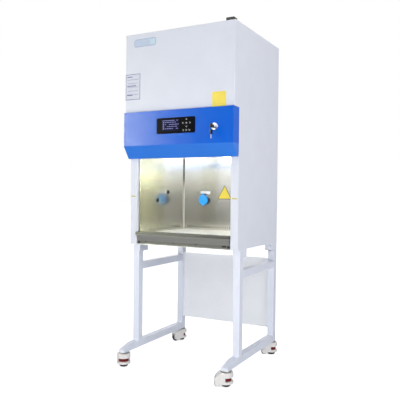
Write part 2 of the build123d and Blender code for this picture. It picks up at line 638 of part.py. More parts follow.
# The perforated ceiling spreads the clean air from the filter above it.
with BuildPart() as diffuser_panel:
    slab((-PLENUM_HALF, PLENUM_FRONT_Y, CEILING_Z), (PLENUM_HALF, LINER_BACK_Y, CEILING_Z + SKIN))
    holes_front_y = PLENUM_FRONT_Y + DIFFUSER_FRONT
    holes_back_y = LINER_BACK_Y - DIFFUSER_BORDER
    hole_pitch_x = 2 * (HALF_CHAMBER - DIFFUSER_BORDER) / DIFFUSER_HOLES_X
    hole_pitch_y = (holes_back_y - holes_front_y) / DIFFUSER_HOLES_Y
    with BuildSketch(Plane.XY.offset(CEILING_Z)):
        with Locations((0, (holes_front_y + holes_back_y) / 2)):
            with GridLocations(hole_pitch_x, hole_pitch_y, DIFFUSER_HOLES_X, DIFFUSER_HOLES_Y):
                Rectangle(DIFFUSER_HOLE, DIFFUSER_HOLE, rotation=45)
    extrude(amount=2 * SKIN, mode=Mode.SUBTRACT)
save(diffuser_panel, "diffuser_panel")

# The work tray is a lift-out pan with a raised rim.
with BuildPart() as work_tray:
    slab((-LEDGE_X, TRAY_FRONT_Y, TRAY_Z - TRAY_FLANGE),
         (LEDGE_X, LINER_BACK_Y - SKIN, TRAY_Z))
    offset(amount=-SKIN, openings=work_tray.faces().sort_by(Axis.Z)[0])
    dish_width = 2 * (LEDGE_X - TRAY_RIM)
    dish_depth = LINER_BACK_Y - SKIN - TRAY_FRONT_Y - 2 * TRAY_RIM
    dish_middle = (TRAY_FRONT_Y + LINER_BACK_Y - SKIN) / 2
    for wall, mode in ((0, Mode.ADD), (SKIN, Mode.SUBTRACT)):
        with BuildSketch(Plane.XY.offset(TRAY_Z)):
            with Locations((0, dish_middle)):
                RectangleRounded(dish_width - 2 * wall, dish_depth - 2 * wall,
                                 TRAY_CORNER - wall)
        extrude(amount=wall - TRAY_DISH - SKIN, mode=mode)
save(work_tray, "work_tray")

# The front sill: a nose that stands ahead of the columns, tucks back below, and carries
# the intake grille on its top.
SILL_TOP_Z = TRAY_Z + SILL_RISE
SILL_FRONT_Y = COLUMN_Y - SILL_FRONT
SILL_BACK_Y = COLUMN_Y + SILL_BACK
SILL_HALF = COLUMN_INNER_X - SILL_CLEARANCE
with BuildPart() as front_sill:
    with BuildSketch(Plane.YZ.offset(-HALF_CHAMBER + SILL_CLEARANCE)):
        with BuildLine():
            Polyline(
                (SILL_FRONT_Y, SILL_TOP_Z),
                (SILL_FRONT_Y, SILL_TOP_Z - SILL_NOSE),
                (SILL_FRONT_Y + SILL_TUCK, SILL_TOP_Z - SILL_NOSE - SILL_SLOPE),
                (SILL_FRONT_Y + SILL_TUCK + SILL_FOOT_LEAN, BASE_Z + SKIN),
                (SILL_BACK_Y, BASE_Z + SKIN),
                (SILL_BACK_Y, TRAY_Z),
                (SILL_BACK_Y - SILL_REAR_SLOPE, SILL_TOP_Z),
                close=True,
            )
        make_face()
    extrude(amount=2 * (HALF_CHAMBER - SILL_CLEARANCE))
    fillet(front_sill.edges().filter_by(Axis.X).group_by(Axis.Z)[-1].sort_by(Axis.Y)[0],
           radius=SILL_ROUND)
    offset(amount=-SKIN, openings=front_sill.faces().sort_by(Axis.Z)[0])
    for side in (-1, 1):
        x_in, x_out = side * (HALF_CHAMBER - SILL_CLEARANCE), side * SILL_HALF
        slab((min(x_in, x_out), SILL_FRONT_Y, SILL_TOP_Z - SILL_NOSE),
             (max(x_in, x_out), COLUMN_Y - SILL_CLEARANCE, SILL_TOP_Z))
    grille_y = SILL_FRONT_Y + GRILLE_INSET + GRILLE_SLOT_LENGTH / 2
    grille_slots = int(2 * (COLUMN_INNER_X - GRILLE_BORDER) / GRILLE_PITCH)
    with BuildSketch(Plane.XY.offset(SILL_TOP_Z)):
        with Locations((0, grille_y)):
            with GridLocations(GRILLE_PITCH, 1, grille_slots, 1):
                Rectangle(GRILLE_SLOT_WIDTH, GRILLE_SLOT_LENGTH)
    extrude(amount=-4 * SKIN, mode=Mode.SUBTRACT)
save(front_sill, "front_sill")

# Sash and guides. The glass hangs between two slotted guides.
GUIDE_FOOT_Z = SILL_TOP_Z + GUIDE_RISE
GUIDE_INNER_X = COLUMN_INNER_X - GUIDE_LIP
with BuildPart() as guide_right:
    slab((GUIDE_INNER_X, GUIDE_FRONT_Y, GUIDE_FOOT_Z),
         (GUIDE_INNER_X + GUIDE_WIDTH, LINER_FRONT_Y, GUIDE_FOOT_Z + GUIDE_HEIGHT))
    slab((GUIDE_INNER_X, GLASS_Y - GLASS_THICKNESS / 2 - GLASS_GAP, GUIDE_FOOT_Z),
         (GUIDE_INNER_X + GUIDE_WIDTH - GUIDE_WALL,
          GLASS_Y + GLASS_THICKNESS / 2 + GLASS_GAP, GUIDE_FOOT_Z + GUIDE_HEIGHT),
         mode=Mode.SUBTRACT)
with BuildPart() as sash_guides:
    add(guide_right.part)
    mirror(about=Plane.YZ)
save(sash_guides, "sash_guides")

GLASS_HALF = GUIDE_INNER_X + GUIDE_WIDTH - GUIDE_WALL - GLASS_GAP
GLASS_FOOT_Z = TRAY_Z + GLASS_OPENING
with BuildPart() as sash_glass:
    slab((-GLASS_HALF, GLASS_Y - GLASS_THICKNESS / 2, GLASS_FOOT_Z),
         (GLASS_HALF, GLASS_Y + GLASS_THICKNESS / 2, GLASS_FOOT_Z + GLASS_HEIGHT))
    chamfer(sash_glass.edges().filter_by(Axis.X), length=GLASS_ARRIS)
save(sash_glass, "sash_glass")

# ---------------------------------------------------------------- socket in the back wall
LID_PIVOT_Z = SOCKET_Z + SOCKET_RADIUS + HINGE_PIN
SOCKET_FACE_Y = LINER_BACK_Y - SOCKET_DEPTH
LID_FRONT_Y = SOCKET_FACE_Y - LID_THICKNESS
LID_BACK_Y = SOCKET_FACE_Y - LID_GAP
hinge_line = Plane(origin=(SOCKET_X, (SOCKET_FACE_Y + LID_FRONT_Y) / 2, LID_PIVOT_Z),
                   z_dir=(1, 0, 0))
with BuildPart() as socket_frame:
    with BuildSketch(front_plane(SOCKET_X, LINER_BACK_Y, SOCKET_Z)):
        Circle(SOCKET_RADIUS)
    extrude(amount=SOCKET_DEPTH)
    with BuildSketch(front_plane(SOCKET_X, LINER_BACK_Y, SOCKET_Z)):
        Circle(SOCKET_WELL - KEY_GAP)
    extrude(amount=-SOCKET_TAIL)
    with BuildSketch(front_plane(SOCKET_X, SOCKET_FACE_Y, SOCKET_Z)):
        Circle(SOCKET_WELL - SOCKET_WALL)
    extrude(amount=-SOCKET_CUP, mode=Mode.SUBTRACT)
    with BuildSketch(front_plane(SOCKET_X, SOCKET_FACE_Y + SOCKET_CUP, SOCKET_Z)):
        for turn in (90, 210, 330):
            with Locations((PIN_CIRCLE * cos(radians(turn)), PIN_CIRCLE * sin(radians(turn)))):
                Rectangle(PIN_SLOT_WIDTH, PIN_SLOT_LENGTH, rotation=turn - 90)
    extrude(amount=-PIN_SLOT_DEPTH, mode=Mode.SUBTRACT)
    for side in (-1, 1):
        ear_x = SOCKET_X + side * EAR_SPREAD
        slab((ear_x - EAR_WIDTH / 2, SOCKET_FACE_Y - LID_THICKNESS / 2 - HINGE_PIN,
              SOCKET_Z + SOCKET_RADIUS),
             (ear_x + EAR_WIDTH / 2, LINER_BACK_Y, LID_PIVOT_Z + HINGE_PIN + EAR_RIM))
        slab((ear_x - EAR_WIDTH / 2, SOCKET_FACE_Y, SOCKET_Z + SOCKET_RADIUS - EAR_ROOT),
             (ear_x + EAR_WIDTH / 2, LINER_BACK_Y, LID_PIVOT_Z))
    with Locations(hinge_line):
        Cylinder(HINGE_PIN, 2 * EAR_SPREAD + EAR_WIDTH)
save(socket_frame, "socket_frame")

with BuildPart() as socket_lid:
    with BuildSketch(front_plane(SOCKET_X, LID_BACK_Y, SOCKET_Z)):
        Circle(SOCKET_RADIUS - LID_RIM)
    extrude(amount=LID_BACK_Y - LID_FRONT_Y)
    chamfer(socket_lid.edges().group_by(Axis.Y)[0], length=LID_EDGE)
    slab((SOCKET_X - LID_EAR, LID_FRONT_Y, SOCKET_Z + SOCKET_RADIUS - EAR_ROOT),
         (SOCKET_X + LID_EAR, LID_BACK_Y, LID_PIVOT_Z))
    slab((SOCKET_X - LID_TAB, LID_FRONT_Y, SOCKET_Z - SOCKET_RADIUS - LID_TAB_DROP),
         (SOCKET_X + LID_TAB, LID_FRONT_Y + LID_THICKNESS / 2, SOCKET_Z - SOCKET_RADIUS + LID_TAB))
    with Locations(hinge_line):
        Cylinder(LID_THICKNESS / 2, 2 * LID_EAR)
        Cylinder(HINGE_PIN + RUNNING, 2 * EAR_SPREAD, mode=Mode.SUBTRACT)
save(socket_lid, "socket_lid")

# ---------------------------------------------------------------- lamps
lamp_z = CEILING_Z - LAMP_DROP
lamp_length = 2 * (HALF_CHAMBER - LAMP_END)


def lamp_tube(back):
    """A tube lamp with metal end caps, lying across the chamber."""
    axis = Plane(origin=(0, COLUMN_Y + back, lamp_z), z_dir=(1, 0, 0))
    with BuildPart() as lamp:
        with Locations(axis):
            Cylinder(LAMP_RADIUS - LAMP_STEP, lamp_length)
        for side in (-1, 1):
            with Locations(axis.offset(side * (lamp_length - LAMP_CAP) / 2)):
                Cylinder(LAMP_RADIUS, LAMP_CAP)
    return lamp


led_lamp = lamp_tube(LED_BACK)
save(led_lamp, "led_lamp")
uv_lamp = lamp_tube(UV_BACK)
save(uv_lamp, "uv_lamp")

with BuildPart() as lamp_holders:
    for back in (LED_BACK, UV_BACK):
        for side in (-1, 1):
            holder_x = side * (lamp_length + HOLDER_LENGTH) / 2
            slab((holder_x - HOLDER_LENGTH / 2, COLUMN_Y + back - HOLDER_WIDTH / 2,
                  lamp_z - HOLDER_WIDTH / 2),
                 (holder_x + HOLDER_LENGTH / 2, COLUMN_Y + back + HOLDER_WIDTH / 2, CEILING_Z))
    fillet(lamp_holders.edges().filter_by(Axis.X).group_by(Axis.Z)[0], radius=HOLDER_ROUND)
save(lamp_holders, "lamp_holders")

# ---------------------------------------------------------------- air system


def pleated_filter(half_x, y_low, y_high, z_low, height, pleats):
    """A filter: a rigid frame round a pack of pleats that run across it."""
    with BuildPart() as pack:
        slab((-half_x, y_low, z_low), (half_x, y_high, z_low + height))
        pitch = (2 * half_x - 2 * FILTER_RIM) / pleats
        for face_z in (z_low, z_low + height):
            with BuildSketch(Plane.XY.offset(face_z)):
                with Locations((0, (y_low + y_high) / 2)):
                    with GridLocations(pitch, 1, pleats, 1):
                        Rectangle(pitch * PLEAT_OPEN, y_high - y_low - 2 * FILTER_RIM)
            inward = 1 if face_z == z_low else -1
            extrude(amount=inward * height * PLEAT_DEPTH, mode=Mode.SUBTRACT)
    return pack


supply_filter = pleated_filter(PLENUM_HALF, PLENUM_FRONT_Y, LINER_BACK_Y, CEILING_Z + SKIN,
                               FILTER_HEIGHT, FILTER_PLEATS)
save(supply_filter, "supply_filter")
exhaust_middle = COLUMN_Y + EXHAUST_Y
exhaust_filter = pleated_filter(EXHAUST_SIZE / 2, exhaust_middle - EXHAUST_SIZE / 2,
                                exhaust_middle + EXHAUST_SIZE / 2, PLENUM_TOP_Z,
                                TOP_Z - SKIN - PLENUM_TOP_Z, FILTER_PLEATS // 2)
save(exhaust_filter, "exhaust_filter")

# The plenum is a sheet box open to the supply filter below, with the blower inlet in its
# back wall and the exhaust opening in its roof.
with BuildPart() as plenum_box:
    slab((-PLENUM_HALF, PLENUM_FRONT_Y, PLENUM_FOOT_Z), (PLENUM_HALF, LINER_BACK_Y, PLENUM_TOP_Z))
    offset(amount=-SKIN, openings=plenum_box.faces().sort_by(Axis.Z)[0])
    opening = EXHAUST_SIZE / 2 - FILTER_RIM
    slab((-opening, exhaust_middle - opening, PLENUM_TOP_Z - 2 * SKIN),
         (opening, exhaust_middle + opening, PLENUM_TOP_Z + SKIN), mode=Mode.SUBTRACT)
    with BuildSketch(front_plane(0, LINER_BACK_Y - 2 * SKIN, SHAFT_Z)):
        Circle(BLOWER_RADIUS - INLET_LAP + SCROLL_WALL)
    extrude(amount=-4 * SKIN, mode=Mode.SUBTRACT)
save(plenum_box, "plenum_box")


def scroll_outline():
    """The spiral of the blower casing, running into a straight outlet."""
    base = BLOWER_RADIUS + SCROLL_GAP + SCROLL_WALL
    points = []
    for step in range(SCROLL_STEPS + 1):
        turn = radians(SCROLL_START + step * SCROLL_STEP)
        radius = base + SCROLL_GROWTH * step / SCROLL_STEPS
        points.append((radius * cos(turn), radius * sin(turn)))
    return points


blower_back_y = LINER_BACK_Y - SKIN
motor_back_y = blower_back_y - BLOWER_WIDTH
with BuildPart() as blower_housing:
    with BuildSketch(front_plane(0, blower_back_y, SHAFT_Z)):
        with BuildLine():
            spiral = scroll_outline()
            outlet_foot = spiral[0][1] - OUTLET_DROP
            Spline(*spiral)
            Polyline(spiral[-1], (spiral[-1][0], outlet_foot), (spiral[0][0], outlet_foot),
                     spiral[0])
        make_face()
    extrude(amount=BLOWER_WIDTH)
    offset(amount=-SCROLL_WALL, openings=blower_housing.faces().sort_by(Axis.Z)[0])
    with BuildSketch(front_plane(0, blower_back_y + SCROLL_WALL, SHAFT_Z)):
        Circle(BLOWER_RADIUS - INLET_LAP)
    extrude(amount=3 * SCROLL_WALL, mode=Mode.SUBTRACT)
    with BuildSketch(front_plane(0, blower_back_y - BLOWER_WIDTH - SCROLL_WALL, SHAFT_Z)):
        Circle(SHAFT_RADIUS + SHAFT_HOLE_WALL)
    extrude(amount=-3 * SCROLL_WALL, mode=Mode.SUBTRACT)
save(blower_housing, "blower_housing")

# The impeller: a back plate on a hub, a drum of slanted blades and a front ring.
impeller_front_y = blower_back_y - BLOWER_WIDTH + SCROLL_WALL + IMPELLER_SIDE_GAP
impeller_back_y = blower_back_y - SCROLL_WALL - IMPELLER_SIDE_GAP
with BuildPart() as impeller:
    with BuildSketch(front_plane(0, impeller_front_y, SHAFT_Z)):
        Circle(BLOWER_RADIUS)
    extrude(amount=-IMPELLER_PLATE)
    with BuildSketch(front_plane(0, impeller_front_y, SHAFT_Z)):
        with PolarLocations(BLOWER_RADIUS - BLADE_CHORD / 2 - IMPELLER_PLATE, BLOWER_BLADES):
            Rectangle(BLADE_CHORD, BLADE_SHEET, rotation=BLADE_LEAN)
    extrude(amount=-(impeller_back_y - impeller_front_y))
    with BuildSketch(front_plane(0, impeller_back_y - IMPELLER_RING, SHAFT_Z)):
        Circle(BLOWER_RADIUS)
        Circle(BLOWER_RADIUS - BLADE_CHORD, mode=Mode.SUBTRACT)
    extrude(amount=-IMPELLER_RING)
    with BuildSketch(front_plane(0, impeller_front_y, SHAFT_Z)):
        Circle(SHAFT_RADIUS + HUB_WALL)
    extrude(amount=-HUB_LENGTH)
    with BuildSketch(front_plane(0, motor_back_y, SHAFT_Z)):
        Circle(SHAFT_RADIUS + SHAFT_GAP)
    extrude(amount=-BLOWER_WIDTH, mode=Mode.SUBTRACT)
save(impeller, "impeller")

# The motor stands on the front of the blower casing and its shaft carries the impeller.
with BuildPart() as blower_motor:
    with BuildSketch(front_plane(0, motor_back_y, SHAFT_Z)):
        Circle(MOTOR_RADIUS + MOTOR_FLANGE)
    extrude(amount=MOTOR_FLANGE_THICKNESS)
    with BuildSketch(front_plane(0, motor_back_y, SHAFT_Z)):
        Circle(MOTOR_RADIUS)
    extrude(amount=MOTOR_LENGTH)
    chamfer(blower_motor.edges().group_by(Axis.Y)[0], length=MOTOR_EDGE)
    with BuildSketch(front_plane(0, motor_back_y, SHAFT_Z)):
        Circle(SHAFT_RADIUS)
    extrude(amount=-(impeller_front_y - motor_back_y + HUB_LENGTH - SHAFT_END_GAP))
save(blower_motor, "blower_motor")

# ---------------------------------------------------------------- on the roof
with BuildPart() as exhaust_collar:
    with BuildSketch(Plane.XY.offset(TOP_Z)):
        with Locations((0, exhaust_middle)):
            Circle(COLLAR_RADIUS + COLLAR_FLANGE)
            Circle(COLLAR_RADIUS - COLLAR_WALL, mode=Mode.SUBTRACT)
    extrude(amount=COLLAR_WALL)
    with BuildSketch(Plane.XY.offset(TOP_Z)):
        with Locations((0, exhaust_middle)):
            Circle(COLLAR_RADIUS)
            Circle(COLLAR_RADIUS - COLLAR_WALL, mode=Mode.SUBTRACT)
    extrude(amount=COLLAR_HEIGHT + COLLAR_WALL)
    with BuildSketch(Plane.XY.offset(TOP_Z)):
        with Locations((0, exhaust_middle)):
            Circle(COLLAR_RADIUS - COLLAR_WALL / 2)
            with GridLocations(GUARD_PITCH, GUARD_PITCH, GUARD_HOLES, GUARD_HOLES):
                Rectangle(GUARD_HOLE, GUARD_HOLE, mode=Mode.SUBTRACT)
    extrude(amount=COLLAR_WALL)
save(exhaust_collar, "exhaust_collar")

# The power inlet stands on the roof near its front right corner.
inlet_front_y = COLUMN_Y - INLET_FRONT
inlet_back_y = inlet_front_y + INLET_DEPTH
with BuildPart() as power_inlet:
    slab((INLET_X - INLET_WIDTH / 2, inlet_front_y, TOP_Z),
         (INLET_X + INLET_WIDTH / 2, inlet_back_y, TOP_Z + INLET_HEIGHT))
    fillet(power_inlet.edges().filter_by(Axis.Z), radius=INLET_ROUND)
    fillet(power_inlet.faces().sort_by(Axis.Z)[-1].edges(), radius=INLET_TOP_ROUND)
    with BuildSketch(Plane.XZ.offset(-inlet_back_y)):
        with Locations((INLET_X, TOP_Z + INLET_HEIGHT / 2)):
            RectangleRounded(INLET_CUP_WIDTH, INLET_CUP_HEIGHT, INLET_CUP_ROUND)
    extrude(amount=INLET_CUP_DEPTH, mode=Mode.SUBTRACT)
    with BuildSketch(Plane.XZ.offset(INLET_CUP_DEPTH - inlet_back_y)):
        with Locations((INLET_X, TOP_Z + INLET_HEIGHT / 2)):
            with GridLocations(INLET_PIN_PITCH, 1, 3, 1):
                Rectangle(INLET_PIN_WIDTH, INLET_PIN_HEIGHT)
    extrude(amount=-INLET_PIN_LENGTH)
save(power_inlet, "power_inlet")

# ---------------------------------------------------------------- stand


def tube_run(low, high, along):
    """A square tube between two corners, open along one axis."""
    slab(low, high)
    inner_low = [a + (0 if i == along else TUBE_WALL) for i, a in enumerate(low)]
    inner_high = [b - (0 if i == along else TUBE_WALL) for i, b in enumerate(high)]
    slab(inner_low, inner_high, mode=Mode.SUBTRACT)


frame_low_x = FRAME_X - TUBE / 2
frame_high_x = FRAME_X + TUBE / 2
toe_front_y = COLUMN_Y - TOE_TIP
rail_top = RAIL_FOOT + TUBE
with BuildPart() as stand_frame_right:
    # The lower rail ends in a nose that tapers over the front castor.
    with BuildSketch(Plane.YZ.offset(frame_low_x)) as rail_side:
        with BuildLine():
            Polyline(
                (toe_front_y, RAIL_FOOT),
                (BACK_Y, RAIL_FOOT),
                (BACK_Y, rail_top),
                (COLUMN_Y - TOE_BEND, rail_top),
                (toe_front_y, RAIL_FOOT + TOE_NOSE),
                close=True,
            )
        make_face()
        fillet(rail_side.vertices().group_by(Axis.X)[1], radius=TOE_ROUND)
    extrude(amount=TUBE)
    with BuildSketch(Plane.YZ.offset(frame_low_x + TUBE_WALL)):
        add(rail_side.sketch_local)
        offset(amount=-TUBE_WALL, mode=Mode.REPLACE)
    extrude(amount=TUBE - 2 * TUBE_WALL, mode=Mode.SUBTRACT)
    for leg_y in (FRONT_LEG_Y, REAR_LEG_Y):
        tube_run((frame_low_x, leg_y - TUBE / 2, rail_top),
                 (frame_high_x, leg_y + TUBE / 2, PAD_TUBE_Z), 2)
    tube_run((frame_low_x, FRONT_LEG_Y + TUBE / 2, UPPER_RAIL_Z),
             (frame_high_x, REAR_LEG_Y - TUBE / 2, UPPER_RAIL_Z + TUBE), 1)
    # A short square tube lies on each leg, and its inner end takes the cabinet bolt.
    for low_y in PAD_TUBE_Y:
        slab((frame_high_x - PAD_TUBE, low_y, PAD_TUBE_Z),
             (frame_high_x, low_y + PAD_LENGTH, BASE_Z))
        slab((frame_high_x - PAD_TUBE + TUBE_WALL, low_y + TUBE_WALL, PAD_TUBE_Z + TUBE_WALL),
             (frame_high_x - TUBE_WALL, low_y + PAD_LENGTH - TUBE_WALL, BASE_Z - TUBE_WALL),
             mode=Mode.SUBTRACT)
    for bolt_y in PAD_BOLT_Y:
        with Locations((FRAME_X, bolt_y, BASE_Z)):
            Cylinder(BOLT_RADIUS + RUNNING, 3 * PAD_TUBE, mode=Mode.SUBTRACT)
    for stem_y in (CASTOR_FRONT_Y, CASTOR_REAR_Y):
        with Locations((FRAME_X, stem_y, RAIL_FOOT)):
            Cylinder(STEM_RADIUS + RUNNING, 3 * TUBE_WALL, mode=Mode.SUBTRACT)
save(stand_frame_right, "stand_frame_right")
stand_frame_left = mirrored(stand_frame_right)
save(stand_frame_left, "stand_frame_left")

with BuildPart() as base_bolts:
    for side in (-1, 1):
        for bolt_y in PAD_BOLT_Y:
            with BuildSketch(Plane.XY.offset(PAD_TUBE_Z)):
                with Locations((side * FRAME_X, bolt_y)):
                    RegularPolygon(radius=BOLT_HEAD, side_count=6)
            extrude(amount=-BOLT_HEAD_HEIGHT)
            with BuildSketch(Plane.XY.offset(PAD_TUBE_Z)):
                with Locations((side * FRAME_X, bolt_y)):
                    Circle(BOLT_RADIUS)
            extrude(amount=PAD_TUBE)
save(base_bolts, "base_bolts")

# The rear panel braces the two frames: a shallow pan with turned edges.
with BuildPart() as modesty_panel:
    panel_half = FRAME_X - TUBE / 2
    panel_y = REAR_LEG_Y + MODESTY_LAP
    slab((-panel_half, panel_y - MODESTY_DEPTH, MODESTY_FOOT),
         (panel_half, panel_y, BASE_Z - MODESTY_DROP))
    offset(amount=-SKIN, openings=modesty_panel.faces().sort_by(Axis.Y)[0])
save(modesty_panel, "modesty_panel")

# ---------------------------------------------------------------- levelling castors
# Each castor turns on a kingpin under its stem. The wheel trails at one end, and the
# levelling pad stands on a screwed spindle in line with the stem. The red dial is a
# captive nut: turning it lowers the pad past the wheel.


def castor_place(key):
    """Foot of a castor's stem on the floor, with local X towards its wheel."""
    side, row, heading = CASTORS[key]
    stem_y = CASTOR_FRONT_Y if row == "front" else CASTOR_REAR_Y
    turn = radians(heading)
    return Plane(origin=(side * FRAME_X, stem_y, 0), x_dir=(cos(turn), sin(turn), 0),
                 z_dir=(0, 0, 1))


def upright(place, along=0.0, height=0.0, sideways=0.0):
    """A plane standing across a castor: local X along it, local Y up."""
    origin = place.origin + place.x_dir * along + place.y_dir * sideways
    return Plane(origin=origin + Vector(0, 0, height), x_dir=place.x_dir, z_dir=-place.y_dir)


with BuildPart() as castor_mounts:
    for key in CASTORS:
        place = castor_place(key)
        for low, high, radius in (
            (HOUSING_TOP + BEARING_GAP, RAIL_FOOT, BEARING_RADIUS),
            (RAIL_FOOT, RAIL_FOOT + STEM_LENGTH, STEM_RADIUS),
            (HOUSING_TOP - KINGPIN_LENGTH, HOUSING_TOP + BEARING_GAP, KINGPIN_RADIUS),
        ):
            with BuildSketch(place.offset(low)):
                Circle(radius)
            extrude(amount=high - low)
        with BuildSketch(place.offset(RAIL_FOOT + TUBE_WALL)):
            RegularPolygon(radius=STEM_NUT_RADIUS, side_count=6)
        extrude(amount=STEM_RADIUS)
save(castor_mounts, "castor_mounts")


def castor_housing(place):
    """The moulded housing: round over the pad, open round the dial, cheeks at the wheel."""
    half_tail = HOUSING_RADIUS - HOUSING_TAPER
    nose_x = -HOUSING_RADIUS - SKIN
    tail_x = HOUSING_REAR + SKIN
    skirt_x = WHEEL_TRAIL - WHEEL_RADIUS + SKIRT_LAP
    with BuildPart() as housing:
        with BuildSketch(place) as plan:
            with BuildLine():
                ThreePointArc((0, HOUSING_RADIUS), (-HOUSING_RADIUS, 0), (0, -HOUSING_RADIUS))
                Polyline((0, -HOUSING_RADIUS), (HOUSING_REAR / 2, -HOUSING_RADIUS),
                         (HOUSING_REAR, -half_tail), (HOUSING_REAR, half_tail),
                         (HOUSING_REAR / 2, HOUSING_RADIUS), (0, HOUSING_RADIUS))
            make_face()
            fillet(plan.vertices().group_by(Axis.X)[-1], radius=HOUSING_TAIL)
        extrude(amount=HOUSING_TOP)
        # Side view: a flat top, a round fall to the wheel and a raised skirt over the pad.
        with BuildSketch(upright(place, sideways=HOUSING_RADIUS + 1)):
            with BuildLine():
                Polyline((TAIL_START, HOUSING_TOP), (-HOUSING_RADIUS + CROWN, HOUSING_TOP))
                ThreePointArc((-HOUSING_RADIUS + CROWN, HOUSING_TOP),
                              (-HOUSING_RADIUS + CROWN * 0.3, HOUSING_TOP - CROWN * 0.3),
                              (nose_x, HOUSING_TOP - CROWN))
                Polyline((nose_x, HOUSING_TOP - CROWN),
                         (nose_x, HOUSING_SKIRT),
                         (skirt_x, HOUSING_SKIRT), (skirt_x + SKIRT_SLOPE, HOUSING_CHEEK),
                         (WHEEL_TRAIL + CHEEK_LAP, HOUSING_CHEEK),
                         (tail_x, WHEEL_RADIUS), (tail_x, TAIL_FOOT))
                ThreePointArc((tail_x, TAIL_FOOT),
                              ((HOUSING_REAR + TAIL_START) / 2 + TAIL_BULGE,
                               (TAIL_FOOT + HOUSING_TOP) / 2 + TAIL_BULGE),
                              (TAIL_START, HOUSING_TOP))
            make_face()
        extrude(amount=2 * HOUSING_RADIUS + 2, mode=Mode.INTERSECT)
        # Window round the dial and its round recess inside.
        with BuildSketch(place.offset(DIAL_FOOT - DIAL_GAP)):
            with Locations((WINDOW_BACK - HOUSING_RADIUS, 0)):
                Rectangle(2 * HOUSING_RADIUS, 2 * HOUSING_RADIUS + 2)
            Circle(DIAL_RADIUS + DIAL_GAP)
        extrude(amount=DIAL_HEIGHT + 2 * DIAL_GAP, mode=Mode.SUBTRACT)
        # Slot for the wheel, open behind and below.
        with BuildSketch(place):
            with Locations((WHEEL_TRAIL - WHEEL_RADIUS - WHEEL_SIDE_GAP + HOUSING_REAR / 2, 0)):
                Rectangle(HOUSING_REAR, WHEEL_WIDTH + 2 * WHEEL_SIDE_GAP)
        extrude(amount=2 * WHEEL_RADIUS + WHEEL_HEADROOM, mode=Mode.SUBTRACT)
        # Spindle hole, and the bore for the kingpin.
        with BuildSketch(place):
            Circle(SPINDLE_RADIUS + DIAL_GAP)
        extrude(amount=SPINDLE_TOP + SPINDLE_HEADROOM, mode=Mode.SUBTRACT)
        with BuildSketch(place.offset(HOUSING_TOP - KINGPIN_LENGTH - BEARING_GAP)):
            Circle(KINGPIN_RADIUS + RUNNING)
        extrude(amount=2 * KINGPIN_LENGTH, mode=Mode.SUBTRACT)
        # The axle is pressed through both cheeks.
        with BuildSketch(upright(place, WHEEL_TRAIL, WHEEL_RADIUS, AXLE_HALF)):
            Circle(AXLE_RADIUS)
        extrude(amount=2 * AXLE_HALF)
    return housing


def castor_wheel(place):
    """A solid wheel with sloped shoulders and dished sides."""
    half = WHEEL_WIDTH / 2
    with BuildPart() as wheel:
        with BuildSketch(upright(place, WHEEL_TRAIL, WHEEL_RADIUS, half)):
            Circle(WHEEL_RADIUS)
        extrude(amount=WHEEL_WIDTH)
        chamfer(wheel.edges(), length=WHEEL_SHOULDER)
        for near in (True, False):
            start = half if near else WHEEL_DISH - half
            with BuildSketch(upright(place, WHEEL_TRAIL, WHEEL_RADIUS, start)):
                Circle(WHEEL_RADIUS - WHEEL_TREAD)
                Circle(AXLE_RADIUS + WHEEL_BOSS, mode=Mode.SUBTRACT)
            extrude(amount=WHEEL_DISH, mode=Mode.SUBTRACT)
        with BuildSketch(upright(place, WHEEL_TRAIL, WHEEL_RADIUS, half + 1)):
            Circle(AXLE_RADIUS + RUNNING)
        extrude(amount=WHEEL_WIDTH + 2, mode=Mode.SUBTRACT)
    return wheel


def castor_dial(place):
    """The captive nut: a thumb wheel with a scalloped rim."""
    with BuildPart() as dial:
        with BuildSketch(place.offset(DIAL_FOOT)):
            Circle(DIAL_RADIUS)
            with PolarLocations(DIAL_RADIUS + DIAL_GRIP_RISE, DIAL_GRIPS):
                Circle(DIAL_GRIP_RADIUS, mode=Mode.SUBTRACT)
            Circle(SPINDLE_RADIUS + RUNNING, mode=Mode.SUBTRACT)
        extrude(amount=DIAL_HEIGHT)
    return dial


def castor_foot(place):
    """The rubber pad on its spindle."""
    with BuildPart() as foot:
        with BuildSketch(place.offset(PAD_LIFT)):
            Circle(PAD_RADIUS)
        extrude(amount=PAD_HEIGHT)
        chamfer(foot.edges().group_by(Axis.Z)[0], length=PAD_EDGE)
        with BuildSketch(place.offset(PAD_LIFT + PAD_HEIGHT)):
            Circle(SPINDLE_RADIUS)
        extrude(amount=SPINDLE_TOP - PAD_LIFT - PAD_HEIGHT)
    return foot


for key in CASTORS:
    place = castor_place(key)
    save(castor_housing(place), f"castor_housing_{key}")
    save(castor_wheel(place), f"castor_wheel_{key}")
    save(castor_dial(place), f"castor_dial_{key}")
    save(castor_foot(place), f"castor_foot_{key}")
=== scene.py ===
"""Looks for the biosafety cabinet: camera, light, materials and the small fitted details."""
import json
import math
import random

import bmesh
import bpy
from mathutils import Matrix, Vector


